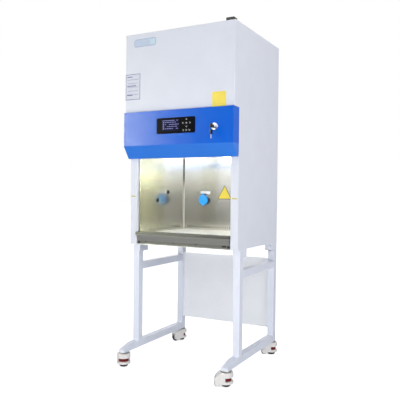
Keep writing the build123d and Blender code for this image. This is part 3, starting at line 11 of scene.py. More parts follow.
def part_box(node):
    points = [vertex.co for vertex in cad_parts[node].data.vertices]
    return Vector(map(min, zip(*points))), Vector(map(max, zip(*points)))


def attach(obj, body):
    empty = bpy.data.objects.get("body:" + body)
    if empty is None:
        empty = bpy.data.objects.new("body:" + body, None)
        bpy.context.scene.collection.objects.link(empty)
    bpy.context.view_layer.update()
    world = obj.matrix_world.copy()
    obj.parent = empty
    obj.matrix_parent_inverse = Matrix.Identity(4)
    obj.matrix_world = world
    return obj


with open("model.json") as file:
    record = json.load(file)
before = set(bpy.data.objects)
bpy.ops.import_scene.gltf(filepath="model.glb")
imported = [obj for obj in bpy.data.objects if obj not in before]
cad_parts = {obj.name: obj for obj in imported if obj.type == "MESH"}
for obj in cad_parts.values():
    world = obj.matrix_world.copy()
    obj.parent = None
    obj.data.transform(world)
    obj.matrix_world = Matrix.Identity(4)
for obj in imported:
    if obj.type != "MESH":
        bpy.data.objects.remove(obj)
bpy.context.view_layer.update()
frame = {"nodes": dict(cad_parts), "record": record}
NODES = frame["nodes"]
SLOT_OF = {part["node"]: part["material_slot"] for part in frame["record"]["subparts"]}

# Boxes of the nodes that carry fitted details: a low and a high corner each, in metres.
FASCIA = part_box("control_fascia")
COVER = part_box("upper_front_cover")
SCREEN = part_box("display_screen")
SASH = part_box("sash_glass")
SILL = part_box("front_sill")
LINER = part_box("chamber_liner")
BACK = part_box("back_panel")
FASCIA_DEPTH = 0.072            # from the front of the fascia to the front of the columns
COLUMN_Y = FASCIA[0].y + FASCIA_DEPTH
HANDS = ((-1, "left"), (1, "right"))

# ------------------------------------------------------------------ shader tools
NOISE_LOW, NOISE_HIGH = 0.3, 0.7                # most of a noise texture lies between these
MIX_FACTOR, MIX_FIRST, MIX_SECOND = 0, 6, 7     # inputs of a Mix node set to colours
MIX_RESULT = 2                                  # and its output
UNTOUCHED = (1.0, 1.0, 1.0, 1.0)


def linear(red, green, blue):
    """A colour written in screen values from 0 to 255, as linear light."""
    def one(value):
        value /= 255
        return value / 12.92 if value <= 0.04045 else ((value + 0.055) / 1.055) ** 2.4
    return (one(red), one(green), one(blue), 1.0)


def shade(color, factor):
    return tuple(channel * factor for channel in color[:3]) + (1.0,)


class Shader:
    """A Principled material, with helpers that add procedural detail to it."""

    def __init__(self, name, color, **uniform):
        self.name = name
        self.material = bpy.data.materials.new(name)
        self.material.use_nodes = True
        self.tree = self.material.node_tree
        self.bsdf = self.tree.nodes["Principled BSDF"]
        self.color = color
        self.set("Base Color", color)
        for socket, value in uniform.items():
            self.set(socket.replace("_", " "), value)
        self.place = self.node("ShaderNodeTexCoord").outputs["Object"]

    def set(self, socket, value):
        self.bsdf.inputs[socket].default_value = value

    def link(self, output, socket):
        self.tree.links.new(output, self.bsdf.inputs[socket])

    def feed(self, value, socket):
        """Gives a node's socket a plain value, or the output of another node."""
        if isinstance(value, bpy.types.NodeSocket):
            self.tree.links.new(value, socket)
        else:
            socket.default_value = value

    def node(self, kind, **values):
        made = self.tree.nodes.new(kind)
        for key, value in values.items():
            self.feed(value, made.inputs[key.replace("_", " ")])
        return made

    def stretched(self, scale):
        """Object coordinates scaled along each axis, for grain that runs one way."""
        return self.node("ShaderNodeMapping", Vector=self.place, Scale=scale).outputs["Vector"]

    def noise(self, scale, detail=2.0, rough=0.5, grain=None):
        where = self.place if grain is None else self.stretched(grain)
        made = self.node("ShaderNodeTexNoise", Vector=where, Scale=scale, Detail=detail,
                         Roughness=rough)
        return made.outputs["Fac"]

    def span(self, fac, low, high, to_low, to_high):
        """Maps a factor from one range of values to another."""
        made = self.node("ShaderNodeMapRange", Value=fac, From_Min=low, From_Max=high,
                         To_Min=to_low, To_Max=to_high)
        return made.outputs["Result"]

    def power(self, fac, exponent):
        made = self.tree.nodes.new("ShaderNodeMath")
        made.operation = "POWER"
        self.feed(fac, made.inputs[0])
        self.feed(exponent, made.inputs[1])
        return made.outputs["Value"]

    def mix(self, fac, first, second, blend="MIX"):
        made = self.tree.nodes.new("ShaderNodeMix")
        made.data_type = "RGBA"
        made.blend_type = blend
        self.feed(fac, made.inputs[MIX_FACTOR])
        self.feed(first, made.inputs[MIX_FIRST])
        self.feed(second, made.inputs[MIX_SECOND])
        return made.outputs[MIX_RESULT]

    def along(self, axis, low, high, low_color, high_color):
        """A colour that changes between two places on an axis."""
        where = self.node("ShaderNodeSeparateXYZ", Vector=self.place).outputs[axis]
        return self.mix(self.span(where, low, high, 0.0, 1.0), low_color, high_color)

    def tint(self, fac, second):
        """Blends the base colour towards a second one by a noise factor."""
        share = self.span(fac, NOISE_LOW, NOISE_HIGH, 0.0, 1.0)
        self.link(self.mix(share, self.color, second), "Base Color")

    def fade(self, levels, scale, mottle):
        """Mottles the colour. Above each pair of heights it has changed to another one."""
        second = shade(self.color, mottle)
        for (low, high), upper in levels:
            second = self.along("Z", low, high, second, shade(upper, mottle))
            self.color = self.along("Z", low, high, self.color, upper)
        self.tint(self.noise(scale, detail=3.0), second)

    def multiply_along(self, axis, low, high, color):
        """Multiplies the finished colour by another one, up to a place on an axis."""
        painted = self.bsdf.inputs["Base Color"].links[0].from_socket
        film = self.along(axis, low, high, color, UNTOUCHED)
        self.link(self.mix(1.0, painted, film, "MULTIPLY"), "Base Color")

    def gloss(self, fac, rough_low, rough_high):
        self.link(self.span(fac, NOISE_LOW, NOISE_HIGH, rough_low, rough_high), "Roughness")

    def bump(self, fac, distance, strength):
        """Adds relief on top of the relief that is there."""
        made = self.node("ShaderNodeBump", Height=fac, Distance=distance, Strength=strength)
        previous = self.bsdf.inputs["Normal"]
        if previous.is_linked:
            self.tree.links.new(previous.links[0].from_socket, made.inputs["Normal"])
        self.link(made.outputs["Normal"], "Normal")


# ------------------------------------------------------------------ kinds of surface
# Noise scales are in cells per metre, and distances of relief in metres.
def powder_coat(name, color, rough, peel, fade=(), wrinkle=0.0, **uniform):
    """Baked powder coat: orange peel, a fine grain and a slight mottle of its colour."""
    made = Shader(name, color, **uniform)
    made.fade(fade, scale=9.0, mottle=0.97)
    made.gloss(made.noise(60.0), rough - 0.03, rough + 0.05)
    if wrinkle:
        made.bump(made.noise(230.0, rough=0.7), wrinkle, strength=0.8)
    made.bump(made.noise(420.0), distance=0.0004, strength=peel)
    made.bump(made.noise(1600.0, detail=1.0), distance=0.0001, strength=peel)
    return made


def brushed_steel(name, color, rough, grain, drawn, metal, fade=()):
    """Brushed stainless sheet: fine drawn lines, and soft smears left by wiping."""
    made = Shader(name, color, Metallic=metal)
    lines = made.noise(1.0, detail=4.0, rough=0.7, grain=grain)
    made.fade(fade, scale=2.5, mottle=0.92)
    made.gloss(lines, rough - 0.05, rough + 0.08)
    made.bump(lines, distance=0.0004, strength=drawn)
    return made


def moulded(name, color, rough, coat=0.0, skin=0.15, fade=(), **uniform):
    """Moulded plastic: faint flow marks and a light skin texture."""
    made = Shader(name, color, Coat_Weight=coat, Coat_Roughness=0.08, **uniform)
    made.fade(fade, scale=35.0, mottle=0.95)
    made.gloss(made.noise(140.0, detail=3.0), rough - 0.06, rough + 0.08)
    made.bump(made.noise(1500.0), distance=0.0002, strength=skin)
    return made


def plated(name, color, rough):
    """Plated metal with fine scratches."""
    made = Shader(name, color, Metallic=1.0)
    made.tint(made.noise(90.0, detail=3.0), shade(color, 0.85))
    made.gloss(made.noise(300.0, detail=4.0), max(rough - 0.05, 0.03), rough + 0.08)
    made.bump(made.noise(900.0, detail=3.0), distance=0.0001, strength=0.2)
    return made


def clear_glass(name, tint, face_on):
    """Sheet glass: nearly clear face on, a mirror at grazing angles, by Schlick's curve."""
    made = Shader(name, tint, Metallic=1.0, Roughness=0.03)
    grazing = made.node("ShaderNodeLayerWeight", Blend=0.5).outputs["Facing"]
    made.link(made.span(made.power(grazing, 5.0), 0.0, 1.0, face_on, 1.0), "Alpha")
    made.tint(made.noise(3.0), shade(tint, 0.94))
    return made


def glowing(name, color, light, strength, **uniform):
    """A lamp tube or a lit screen."""
    made = Shader(name, color, Roughness=0.25, **uniform)
    made.tint(made.noise(30.0), shade(color, 0.92))
    made.set("Emission Color", light)
    made.set("Emission Strength", strength)
    return made


# ------------------------------------------------------------------ materials
WHITE = linear(226, 229, 238)
STAND = linear(230, 234, 246)
# BLUE is the fascia's paint; the second, lighter blue is that paint with a painted sheen, for
# its bevel.
BLUE, BEVEL_BLUE_PAINTED_SHEEN = linear(4, 98, 214), linear(56, 124, 222)
# The chamber steel has painted lamplight: the second, much lighter colour is used up high where
# the lamp lights the walls, and the first below it stands for the walls in shade.
STEEL, STEEL_PAINTED_LAMPLIGHT = linear(208, 207, 199), linear(250, 250, 243)
# Painted shade on the one steel sheet of the sill: its foot and its lip are darker copies of
# the colour of its face.
SILL_FOOT_SHADE, SILL_FACE = linear(150, 149, 146), linear(202, 201, 197)
SILL_LIP_SHADE = linear(84, 84, 83)
KEY_BLADE, KEY_HEAD = linear(196, 198, 204), linear(18, 19, 24)
LED_LIGHT, LED_STRENGTH = (1.0, 0.98, 0.94, 1.0), 92.0
# A painted reflection: the chamber walls are tinted darker and olive towards the front by this
# colour, over the depths given below.
FRONT_REFLECTION_TINT = (0.82, 0.82, 0.75, 1.0)

# Pairs of heights between which a colour changes into the next one up. The changes on the
# fascia's bevel, the chamber walls and the sill are painted light; the one on the key is its
# own two colours.
BEVEL_FOLD = (1.267, 1.271)
CHAMBER_RISE = (0.98, 1.16)
SILL_FOOT_FOLD = (0.7215, 0.7225)
SILL_LIP_FOLD = (0.755, 0.759)
KEY_SHOULDER = (1.3108, 1.3112)
FRONT_REFLECTION_DEPTHS = (0.02, 0.075)    # the same along the depth of the chamber

# How fast drawn lines change along X, Y and Z: they run along the slowest axes.
WALL_GRAIN = (9.0, 9.0, 500.0)
SILL_GRAIN = (9.0, 600.0, 600.0)
TRAY_GRAIN = (14.0, 900.0, 14.0)
GUIDE_GRAIN = (900.0, 900.0, 10.0)

MATERIALS = {made.name: made for made in (
    powder_coat("cabinet_white", WHITE, 0.42, peel=0.22, Specular_IOR_Level=0.12),
    # Painted sheen: below the fold, on its bevel, the fascia's blue is lighter.
    powder_coat("fascia_blue", BEVEL_BLUE_PAINTED_SHEEN, 0.2, peel=0.5, fade=[(BEVEL_FOLD, BLUE)],
                wrinkle=0.0004, Specular_IOR_Level=0.1),
    powder_coat("stand_white", STAND, 0.36, peel=0.12),
    # Partly painted light: the modesty panel gets a lighter, glossier copy of the stand's
    # white, to make up for the shade it lies in under the cabinet.
    powder_coat("panel_gloss_painted_light", linear(246, 248, 252), 0.3, peel=0.05),
    # Painted lamplight and shade: the chamber walls are lighter above about 1 m and darker
    # below.
    brushed_steel("stainless", STEEL, 0.16, WALL_GRAIN, drawn=0.04, metal=0.9,
                  fade=[(CHAMBER_RISE, STEEL_PAINTED_LAMPLIGHT)]),
    # Painted shade: the sill's foot and lip are darker than its face, changing at the folds.
    brushed_steel("sill_steel", SILL_FOOT_SHADE, 0.34, SILL_GRAIN, drawn=0.2, metal=0.72,
                  fade=[(SILL_FOOT_FOLD, SILL_FACE), (SILL_LIP_FOLD, SILL_LIP_SHADE)]),
    brushed_steel("tray_steel", linear(250, 250, 247), 0.4, TRAY_GRAIN, drawn=0.08, metal=0.2),
    brushed_steel("guide_aluminium", linear(232, 234, 236), 0.4, GUIDE_GRAIN, drawn=0.1,
                  metal=0.4),
    plated("zinc_steel", linear(196, 199, 204), 0.38),
    plated("hardware", linear(172, 169, 163), 0.3),
    plated("blower_aluminium", linear(188, 190, 194), 0.42),
    plated("lock_chrome", linear(250, 250, 254), 0.3),
    clear_glass("sash_glass", linear(236, 246, 242), face_on=0.008),
    glowing("lamp_glass", linear(244, 246, 248), LED_LIGHT, LED_STRENGTH),
    glowing("screen", linear(16, 17, 44), linear(60, 62, 140), 0.06, Specular_IOR_Level=0.02),
    moulded("uv_glass", linear(214, 222, 236), 0.12, coat=0.5),
    moulded("panel_black", linear(9, 9, 14), 0.22, skin=0.05, Specular_IOR_Level=0.02),
    # Painted shade: the dark finish of the sheets behind the slots.
    moulded("slot_shade_dark", linear(24, 24, 25), 0.7, skin=0.4),
    moulded("port_black", linear(14, 14, 16), 0.45, skin=0.3, Specular_IOR_Level=0.1),
    # Painted shade: the socket's frame is a dark navy, standing for the blue socket's sides in
    # shade below and right of its lid.
    moulded("socket_navy_painted_shade", linear(26, 36, 66), 0.35, Specular_IOR_Level=0.15),
    moulded("key_dark", linear(16, 16, 21), 0.28, skin=0.1, Specular_IOR_Level=0.03),
    moulded("key_black", KEY_BLADE, 0.35, fade=[(KEY_SHOULDER, KEY_HEAD)]),
    moulded("filter_media", linear(232, 230, 220), 0.75, skin=0.6),
    moulded("lid_blue", linear(40, 144, 228), 0.28, coat=0.1),
    moulded("socket_grey", linear(206, 212, 220), 0.35),
    moulded("plug_white", linear(228, 228, 222), 0.4),
    moulded("inlet_black", linear(20, 20, 24), 0.4, skin=0.3),
    moulded("castor_white", linear(232, 229, 226), 0.26, coat=0.3),
    moulded("wheel_black", linear(24, 24, 26), 0.4, skin=0.3),
    moulded("dial_red", linear(116, 20, 24), 0.3, coat=0.2),
    moulded("pad_black", linear(26, 26, 28), 0.55, skin=0.5),
)}
# Painted reflection: the walls of the chamber are darker and warmer towards the operator, a
# band that stands in for a dark reflection in the polished walls.
MATERIALS["stainless"].multiply_along("Y", *FRONT_REFLECTION_DEPTHS, FRONT_REFLECTION_TINT)

# Nodes whose finish departs from that of their slot.
FINISH = {"front_sill": "sill_steel", "service_port_plugs": "port_black",
          "socket_frame": "socket_navy_painted_shade", "modesty_panel": "panel_gloss_painted_light"}

# Folded sheet and mouldings have a small radius on every edge, in metres.
USUAL_EDGE = 0.0006
SOFT_EDGE = {"stand_frame_left": 0.0025, "stand_frame_right": 0.0025, "sash_glass": 0.0004,
             "base_bolts": 0.0003, "chamber_liner": 0.0002, "diffuser_panel": 0.0002,
             "supply_filter": 0.0002, "exhaust_collar": 0.0002, "impeller": 0.0002}
SHARPEST_SMOOTH = math.radians(40)

for name, obj in NODES.items():
    obj.data.materials.clear()
    obj.data.materials.append(MATERIALS[FINISH.get(name, SLOT_OF[name])].material)
    edge = obj.modifiers.new("soft_edge", "BEVEL")
    edge.width = SOFT_EDGE.get(name, USUAL_EDGE)
    edge.segments = 2
    edge.limit_method = "ANGLE"
    edge.angle_limit = SHARPEST_SMOOTH
    edge.harden_normals = True

# Finishes of the fitted details.
INK = moulded("label_ink", linear(66, 66, 148), 0.5)
PAPER = moulded("label_paper", linear(232, 233, 242), 0.45)
LABEL_YELLOW = moulded("label_yellow", linear(240, 214, 40), 0.4, coat=0.2)
MARK_YELLOW = moulded("mark_yellow", linear(206, 196, 84), 0.5, Specular_IOR_Level=0.1)
LABEL_BLACK = moulded("label_black", linear(30, 28, 26), 0.4)
BADGE = moulded("badge_film", linear(200, 213, 231), 0.5, Specular_IOR_Level=0.1)
BADGE_EDGE = moulded("badge_edge", linear(116, 142, 190), 0.5, Specular_IOR_Level=0.1)
BADGE_PALE = moulded("badge_pale", linear(206, 228, 238), 0.5, Specular_IOR_Level=0.1)
LABEL_PAPER = moulded("side_label_paper", linear(216, 220, 232), 0.45, Specular_IOR_Level=0.1)
PRINT = moulded("panel_print", linear(196, 198, 208), 0.5)
LCD_INK = glowing("lcd_ink", linear(132, 134, 186), linear(150, 152, 214), 0.2,
                  Specular_IOR_Level=0.02)
SCREW = plated("screw_dark", linear(84, 80, 74), 0.35)
# Painted shade of the back corners: the beads are dark above about 1 m.
BEAD_PAINTED_SHADE = ((0.99, 1.1), linear(58, 58, 55))      # heights over which the bead darkens
BEAD = brushed_steel("corner_bead", linear(236, 236, 230), 0.3, WALL_GRAIN, drawn=0.02,
                     metal=0.3, fade=[BEAD_PAINTED_SHADE])


# ------------------------------------------------------------------ outlines and places
CORNER_STEPS = 5
RING_SIDES, RING_CUT = 24, 0.002        # the cut is an angle in radians


def outline_mesh(name, loops, place, thickness):
    """Flat outlines, each pulled up by a thickness, on a plane given as a matrix."""
    mesh = bmesh.new()
    for loop in loops:
        verts = [mesh.verts.new((x, y, 0.0)) for x, y in loop]
        face = mesh.faces.new(verts)
        lifted = bmesh.ops.extrude_face_region(mesh, geom=[face])["geom"]
        bmesh.ops.translate(mesh, vec=(0, 0, thickness),
                            verts=[v for v in lifted if isinstance(v, bmesh.types.BMVert)])
    bmesh.ops.recalc_face_normals(mesh, faces=mesh.faces)
    mesh.transform(place)
    data = bpy.data.meshes.new(name)
    mesh.to_mesh(data)
    mesh.free()
    obj = bpy.data.objects.new(name, data)
    bpy.context.scene.collection.objects.link(obj)
    return obj


def fit(name, loops, place, thickness, material, body="cabinet"):
    """Makes a piece from outlines, gives it its material and fixes it to its body."""
    obj = outline_mesh(name, loops, place, thickness)
    obj.data.materials.append(material.material)
    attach(obj, body)


def facing_front(x, y, z, lean=0.0):
    """A plane that faces the operator, or leans to face down: local X right, local Y up."""
    c, s = math.cos(lean), math.sin(lean)
    return Matrix.Translation((x, y, z)) @ Matrix(((1, 0, 0, 0), (0, -s, -c, 0),
                                                   (0, c, -s, 0), (0, 0, 0, 1)))


def facing_back(y):
    """A plane that faces the rear: local X left as the operator sees it, local Y up."""
    return facing_front(0, y, 0) @ Matrix.Rotation(math.pi, 4, "Y")


def facing_side(x):
    """A plane that faces the right-hand side: local X back along the depth, local Y up."""
    return facing_front(x, 0, 0) @ Matrix.Rotation(math.pi / 2, 4, "Y")


def raised(place, height):
    """The same plane, moved out along its normal."""
    return place @ Matrix.Translation((0, 0, height))


def rectangle(x, y, width, height, radius=0.0):
    """A rectangle about a centre, its corners rounded where a radius is given."""
    if radius <= 0:
        half_x, half_y = width / 2, height / 2
        return [(x - half_x, y - half_y), (x + half_x, y - half_y),
                (x + half_x, y + half_y), (x - half_x, y + half_y)]
    points = []
    for quarter, (side_x, side_y) in enumerate(((1, 1), (-1, 1), (-1, -1), (1, -1))):
        middle_x = x + side_x * (width / 2 - radius)
        middle_y = y + side_y * (height / 2 - radius)
        for step in range(CORNER_STEPS + 1):
            turn = math.radians(90 * (quarter + step / CORNER_STEPS))
            points.append((middle_x + radius * math.cos(turn),
                           middle_y + radius * math.sin(turn)))
    return points


def cross(x, y, size, width):
    return [rectangle(x, y, size, width), rectangle(x, y, width, size)]


def disc(x, y, radius, sides):
    return [(x + radius * math.cos(math.tau * i / sides),
             y + radius * math.sin(math.tau * i / sides)) for i in range(sides)]


def ring(x, y, outer, inner):
    """A ring as one band, cut open by a hair at its top."""
    start, sweep = math.pi / 2 + RING_CUT / 2, math.tau - RING_CUT
    turns = [start + sweep * i / RING_SIDES for i in range(RING_SIDES + 1)]
    return ([(x + outer * math.cos(t), y + outer * math.sin(t)) for t in turns]
            + [(x + inner * math.cos(t), y + inner * math.sin(t)) for t in reversed(turns)])


def triangle(width, height, inset):
    """A triangle on a base line at zero, drawn in from its edge by an inset."""
    half = width / 2
    slope = math.hypot(half, height)
    side = inset * slope / height
    return [(-half + side + inset * half / height, inset),
            (half - side - inset * half / height, inset),
            (0, height - inset * slope / half)]


def arrow(turn):
    """An open arrow head that points along a direction."""
    points = [(0.0045, 0), (-0.0015, 0.0045), (-0.0035, 0.0035), (0.001, 0), (-0.0035, -0.0035),
              (-0.0015, -0.0045)]
    c, s = math.cos(turn), math.sin(turn)
    return [(x * c - y * s, x * s + y * c) for x, y in points]


# ------------------------------------------------------------------ labels and marks
# Outlines in capitals are x, y, width, height and sometimes a corner radius, in metres.
FILM = 0.0003                   # thickness of labels and prints
SHEET = 0.001                   # thickness of linings and beads
COVER_FACE, GLASS_FACE = COVER[0].y, SASH[0].y

# The raised badge at the top left of the cover: a plate, thin bars round it and a window.
BADGE_PLACE = facing_front(-0.2165, COVER_FACE, 1.856)
BADGE_THICK, BADGE_FILM = 0.0012, 0.0002
BADGE_PLATE = (0, 0, 0.148, 0.044, 0.008)
BADGE_BARS = ((0, -0.0205, 0.132, 0.0012), (0, 0.0205, 0.132, 0.0012),
              (-0.0725, 0, 0.0012, 0.028), (0.0725, 0, 0.0012, 0.028))
BADGE_WINDOW = (0.051, 0, 0.032, 0.030, 0.004)
BADGE_TOP = raised(BADGE_PLACE, BADGE_THICK)
fit("badge", [rectangle(*BADGE_PLATE)], BADGE_PLACE, BADGE_THICK, BADGE)
fit("badge_frame", [rectangle(*bar) for bar in BADGE_BARS], BADGE_TOP, BADGE_FILM,
    BADGE_EDGE)
fit("badge_window", [rectangle(*BADGE_WINDOW)], BADGE_TOP, BADGE_FILM,
    BADGE_PALE)

# A label at the left of the cover: a border, short words on the left and rules across.
LABEL_X, LABEL_Z = -0.2995, 1.6095
LABEL_SHEET = (0, 0, 0.101, 0.147, 0.003)
LABEL_BORDER = ((0, 0.072, 0.101, 0.003), (0, -0.072, 0.101, 0.003),
                (-0.049, 0, 0.003, 0.141), (0.049, 0, 0.003, 0.141))
WORD_START, WORD_TOP, WORD_STEP = -0.040, 0.058, 0.052
WORDS = ((0.036, 0.005), (0.062, 0.005), (0.038, 0.006))       # lengths and heights
RULES, RULE_TOP, RULE_STEP, RULE_HEIGHT = 5, 0.042, 0.0215, 0.0016
RULE_LENGTH, RULE_SHORTER = 0.074, 0.008                       # every second one is shorter
fit("side_label", [rectangle(*LABEL_SHEET)], facing_front(LABEL_X, COVER_FACE, LABEL_Z),
    FILM, LABEL_PAPER)
print_lines = [rectangle(*line) for line in LABEL_BORDER]
for row, (length, height) in enumerate(WORDS):
    print_lines.append(rectangle(WORD_START + length / 2, WORD_TOP - row * WORD_STEP,
                                 length, height))
for row in range(RULES):
    print_lines.append(rectangle(0.0, RULE_TOP - row * RULE_STEP,
                                 RULE_LENGTH - RULE_SHORTER * (row % 2), RULE_HEIGHT))
fit("side_label_print", print_lines, facing_front(LABEL_X, COVER_FACE - FILM, LABEL_Z),
    FILM, INK)

# A yellow square at the right of the cover.
SQUARE = (0, 0, 0.082, 0.080, 0.003)
fit("yellow_square", [rectangle(*SQUARE)], facing_front(0.258, COVER_FACE, 1.5015), FILM,
    LABEL_YELLOW)

# A yellow triangle with a black edge, low on the glass of the sash.
TRIANGLE_WIDTH, TRIANGLE_HEIGHT, TRIANGLE_EDGE = 0.084, 0.075, 0.0028
TRIANGLE_PLACE = facing_front(0.262, GLASS_FACE, SASH[0].z + 0.001)
fit("triangle_edge", [triangle(TRIANGLE_WIDTH, TRIANGLE_HEIGHT, 0.0)], TRIANGLE_PLACE, FILM,
    LABEL_BLACK, "sash")
fit("triangle_film", [triangle(TRIANGLE_WIDTH, TRIANGLE_HEIGHT, TRIANGLE_EDGE)],
    raised(TRIANGLE_PLACE, FILM), FILM, LABEL_YELLOW, "sash")

# Marks on the columns that show the working height of the sash.
HEIGHT_MARKS = ((-0.3315, 0.980, 0.028, 0.0065), (0.3275, 0.9755, 0.029, 0.0065))
fit("height_marks", [rectangle(*mark) for mark in HEIGHT_MARKS], facing_front(0, COLUMN_Y, 0),
    FILM, MARK_YELLOW)

# A blank label on the back wall, over the socket.
LINER_SHEET = 0.0015
WALL_BACK = LINER[1].y - LINER_SHEET
WALL_SIDE = LINER[1].x - LINER_SHEET
SOCKET_LABEL = (0, 0, 0.071, 0.020, 0.001)
fit("socket_label", [rectangle(*SOCKET_LABEL)], facing_front(-0.1335, WALL_BACK, 1.005), FILM,
    PAPER)

# ------------------------------------------------------------------ linings and beads
# Dark sheets inside the return ducts, seen through the rows of slots: painted shade that makes
# the slots read dark.
SLOTS_LOW, SLOTS_HIGH = 0.768, 0.790
SLOTS_MIDDLE, SHADE_SHEET_HEIGHT = (SLOTS_LOW + SLOTS_HIGH) / 2, 0.022
BACK_GAP, SIDE_GAP = 0.003, 0.002       # from the liner to the sheet of painted shade
BACK_SHADE_SHEET = (0, 0, 0.56, SHADE_SHEET_HEIGHT)
SIDE_SHADE_SHEETS = ((COLUMN_Y + 0.305, SLOTS_MIDDLE, 0.37, SHADE_SHEET_HEIGHT),
                (LINER[0].y + 0.019, 1.0, 0.010, 0.41))
fit("painted_slot_shade_back", [rectangle(*BACK_SHADE_SHEET)],
    facing_front(0, LINER[1].y + BACK_GAP, SLOTS_MIDDLE), SHEET,
    MATERIALS["slot_shade_dark"])
for side, hand in HANDS:
    fit(f"painted_slot_shade_{hand}", [rectangle(*lining) for lining in SIDE_SHADE_SHEETS],
        facing_side(side * (LINER[1].x + SIDE_GAP)), SHEET,
        MATERIALS["slot_shade_dark"])

# White sheet that closes the control fascia from behind.
BACKING_LOW, BACKING_HIGH = FASCIA[0].z + 0.013, FASCIA[1].z - 0.005
BACKING = (0, (BACKING_LOW + BACKING_HIGH) / 2, 0.64, BACKING_HIGH - BACKING_LOW)
BACKING_INSET = 0.007
fit("fascia_backing", [rectangle(*BACKING)], facing_back(FASCIA[1].y - BACKING_INSET), SHEET,
    MATERIALS["cabinet_white"])

# Strips down the corners where the back wall turns into the side walls, drawn as welded and
# ground beads; their dark upper part is painted shade of the corner.
BEAD_FOOT, BEAD_WIDTH, BEAD_INSET = 0.766, 0.006, 0.0035
BEAD_STRIP = (0, (BEAD_FOOT + LINER[1].z) / 2, BEAD_WIDTH, LINER[1].z - BEAD_FOOT)
for side, hand in HANDS:
    fit(f"corner_bead_{hand}", [rectangle(*BEAD_STRIP)],
        facing_front(side * (WALL_SIDE - BEAD_INSET), WALL_BACK, 0), SHEET, BEAD)

# ------------------------------------------------------------------ screws, clips, catch
RECESS = 0.0002                 # thickness of the dark cross drawn on a screw head

# Screws, dark end pieces and a magnetic catch on the foot of the sill, which leans back a
# little. The end pieces are painted shade where the ends of the sill meet the columns.
FOOT_TOP, FOOT_INSET = 0.722, 0.019
FOOT_LEAN = math.atan2(0.003, 0.0205)
FOOT_SLOPE = math.tan(FOOT_LEAN)
SILL_SCREW_XS, SILL_SCREW_Z = (-0.243, -0.057, 0.091), 0.718
SILL_SCREW_RADIUS, SILL_SCREW_SIDES, SILL_SCREW_HEAD = 0.0036, 18, 0.0012
SILL_CROSS_SIZE, SILL_CROSS_WIDTH = 0.0055, 0.0012
END_SHADE, END_SHADE_X, END_SHADE_Z, END_SHADE_THICK = (0, 0, 0.015, 0.013, 0.002), 0.2925, 0.713, 0.0008
CATCH, CATCH_X, CATCH_Z, CATCH_THICK = (0, 0, 0.026, 0.009, 0.003), 0.266, 0.7155, 0.0015


def on_sill(x, z):
    """A place on the foot of the sill."""
    return facing_front(x, SILL[0].y + FOOT_INSET + (FOOT_TOP - z) * FOOT_SLOPE, z, FOOT_LEAN)


for index, x in enumerate(SILL_SCREW_XS):
    place = on_sill(x, SILL_SCREW_Z)
    fit(f"sill_screw_{index}", [disc(0, 0, SILL_SCREW_RADIUS, SILL_SCREW_SIDES)], place,
        SILL_SCREW_HEAD, SCREW)
    fit(f"sill_screw_recess_{index}", cross(0, 0, SILL_CROSS_SIZE, SILL_CROSS_WIDTH),
        raised(place, SILL_SCREW_HEAD), RECESS, LABEL_BLACK)
# Painted shade: dark pieces at both ends of the sill's foot.
for side, hand in HANDS:
    fit(f"sill_end_shade_{hand}", [rectangle(*END_SHADE)], on_sill(side * END_SHADE_X, END_SHADE_Z), END_SHADE_THICK,
        SCREW)
fit("sill_catch", [rectangle(*CATCH)], on_sill(CATCH_X, CATCH_Z), CATCH_THICK,
    SCREW)

# Pan-head screws round the edge of the back panel: up its sides, then along its ends.
BACK_SIDE_X, BACK_SIDE_ZS = 0.335, (0.74, 0.97, 1.20, 1.43, 1.66, 1.87)
BACK_END_XS, BACK_END_ZS = (-0.168, 0.0, 0.168), (0.715, 1.895)
BACK_SCREW_RADIUS, BACK_SCREW_SIDES, BACK_SCREW_HEAD = 0.0042, 16, 0.0014
BACK_CROSS_SIZE, BACK_CROSS_WIDTH = 0.005, 0.001
spots = [(side * BACK_SIDE_X, z) for side in (-1, 1) for z in BACK_SIDE_ZS]
spots += [(x, z) for z in BACK_END_ZS for x in BACK_END_XS]
crosses = []
for x, z in spots:
    crosses += cross(x, z, BACK_CROSS_SIZE, BACK_CROSS_WIDTH)
back_place = facing_back(BACK[1].y)
fit("back_screws", [disc(x, z, BACK_SCREW_RADIUS, BACK_SCREW_SIDES) for x, z in spots],
    back_place, BACK_SCREW_HEAD, MATERIALS["zinc_steel"])
fit("back_screw_crosses", crosses, raised(back_place, BACK_SCREW_HEAD), RECESS,
    LABEL_BLACK)

# ------------------------------------------------------------------ display and keys
# Contents of the screen: a head line, then rows that start with a block, with bars after it.
SCREEN_FILM = 0.0002
HEAD_BARS = ((-0.012, 0.026, 0.078, 0.003), (0.044, 0.026, 0.010, 0.003))
ROWS, ROW_TOP, ROW_STEP = 4, 0.016, 0.0115
BLOCK_X, BLOCK_WIDTH, BLOCK_HEIGHT, BLOCK_CORNER = -0.044, 0.009, 0.007, 0.002
BARS_START, BARS_END, BAR_GAP, BAR_HEIGHT = -0.034, 0.046, 0.003, 0.0034
BAR_SHORTEST, BAR_LONGEST, BAR_SHARE = 0.006, 0.017, 0.78
randomly = random.Random(7)
blocks = [rectangle(*bar) for bar in HEAD_BARS]
for row in range(ROWS):
    height = ROW_TOP - row * ROW_STEP
    blocks.append(rectangle(BLOCK_X, height, BLOCK_WIDTH, BLOCK_HEIGHT, BLOCK_CORNER))
    start = BARS_START
    while start < BARS_END:
        length = randomly.uniform(BAR_SHORTEST, BAR_LONGEST)
        if randomly.random() < BAR_SHARE:
            blocks.append(rectangle(start + length / 2, height, length, BAR_HEIGHT))
        start += length + BAR_GAP
screen_x = (SCREEN[0].x + SCREEN[1].x) / 2
screen_z = (SCREEN[0].z + SCREEN[1].z) / 2
fit("screen_blocks", blocks, facing_front(screen_x, SCREEN[0].y, screen_z), SCREEN_FILM,
    LCD_INK)

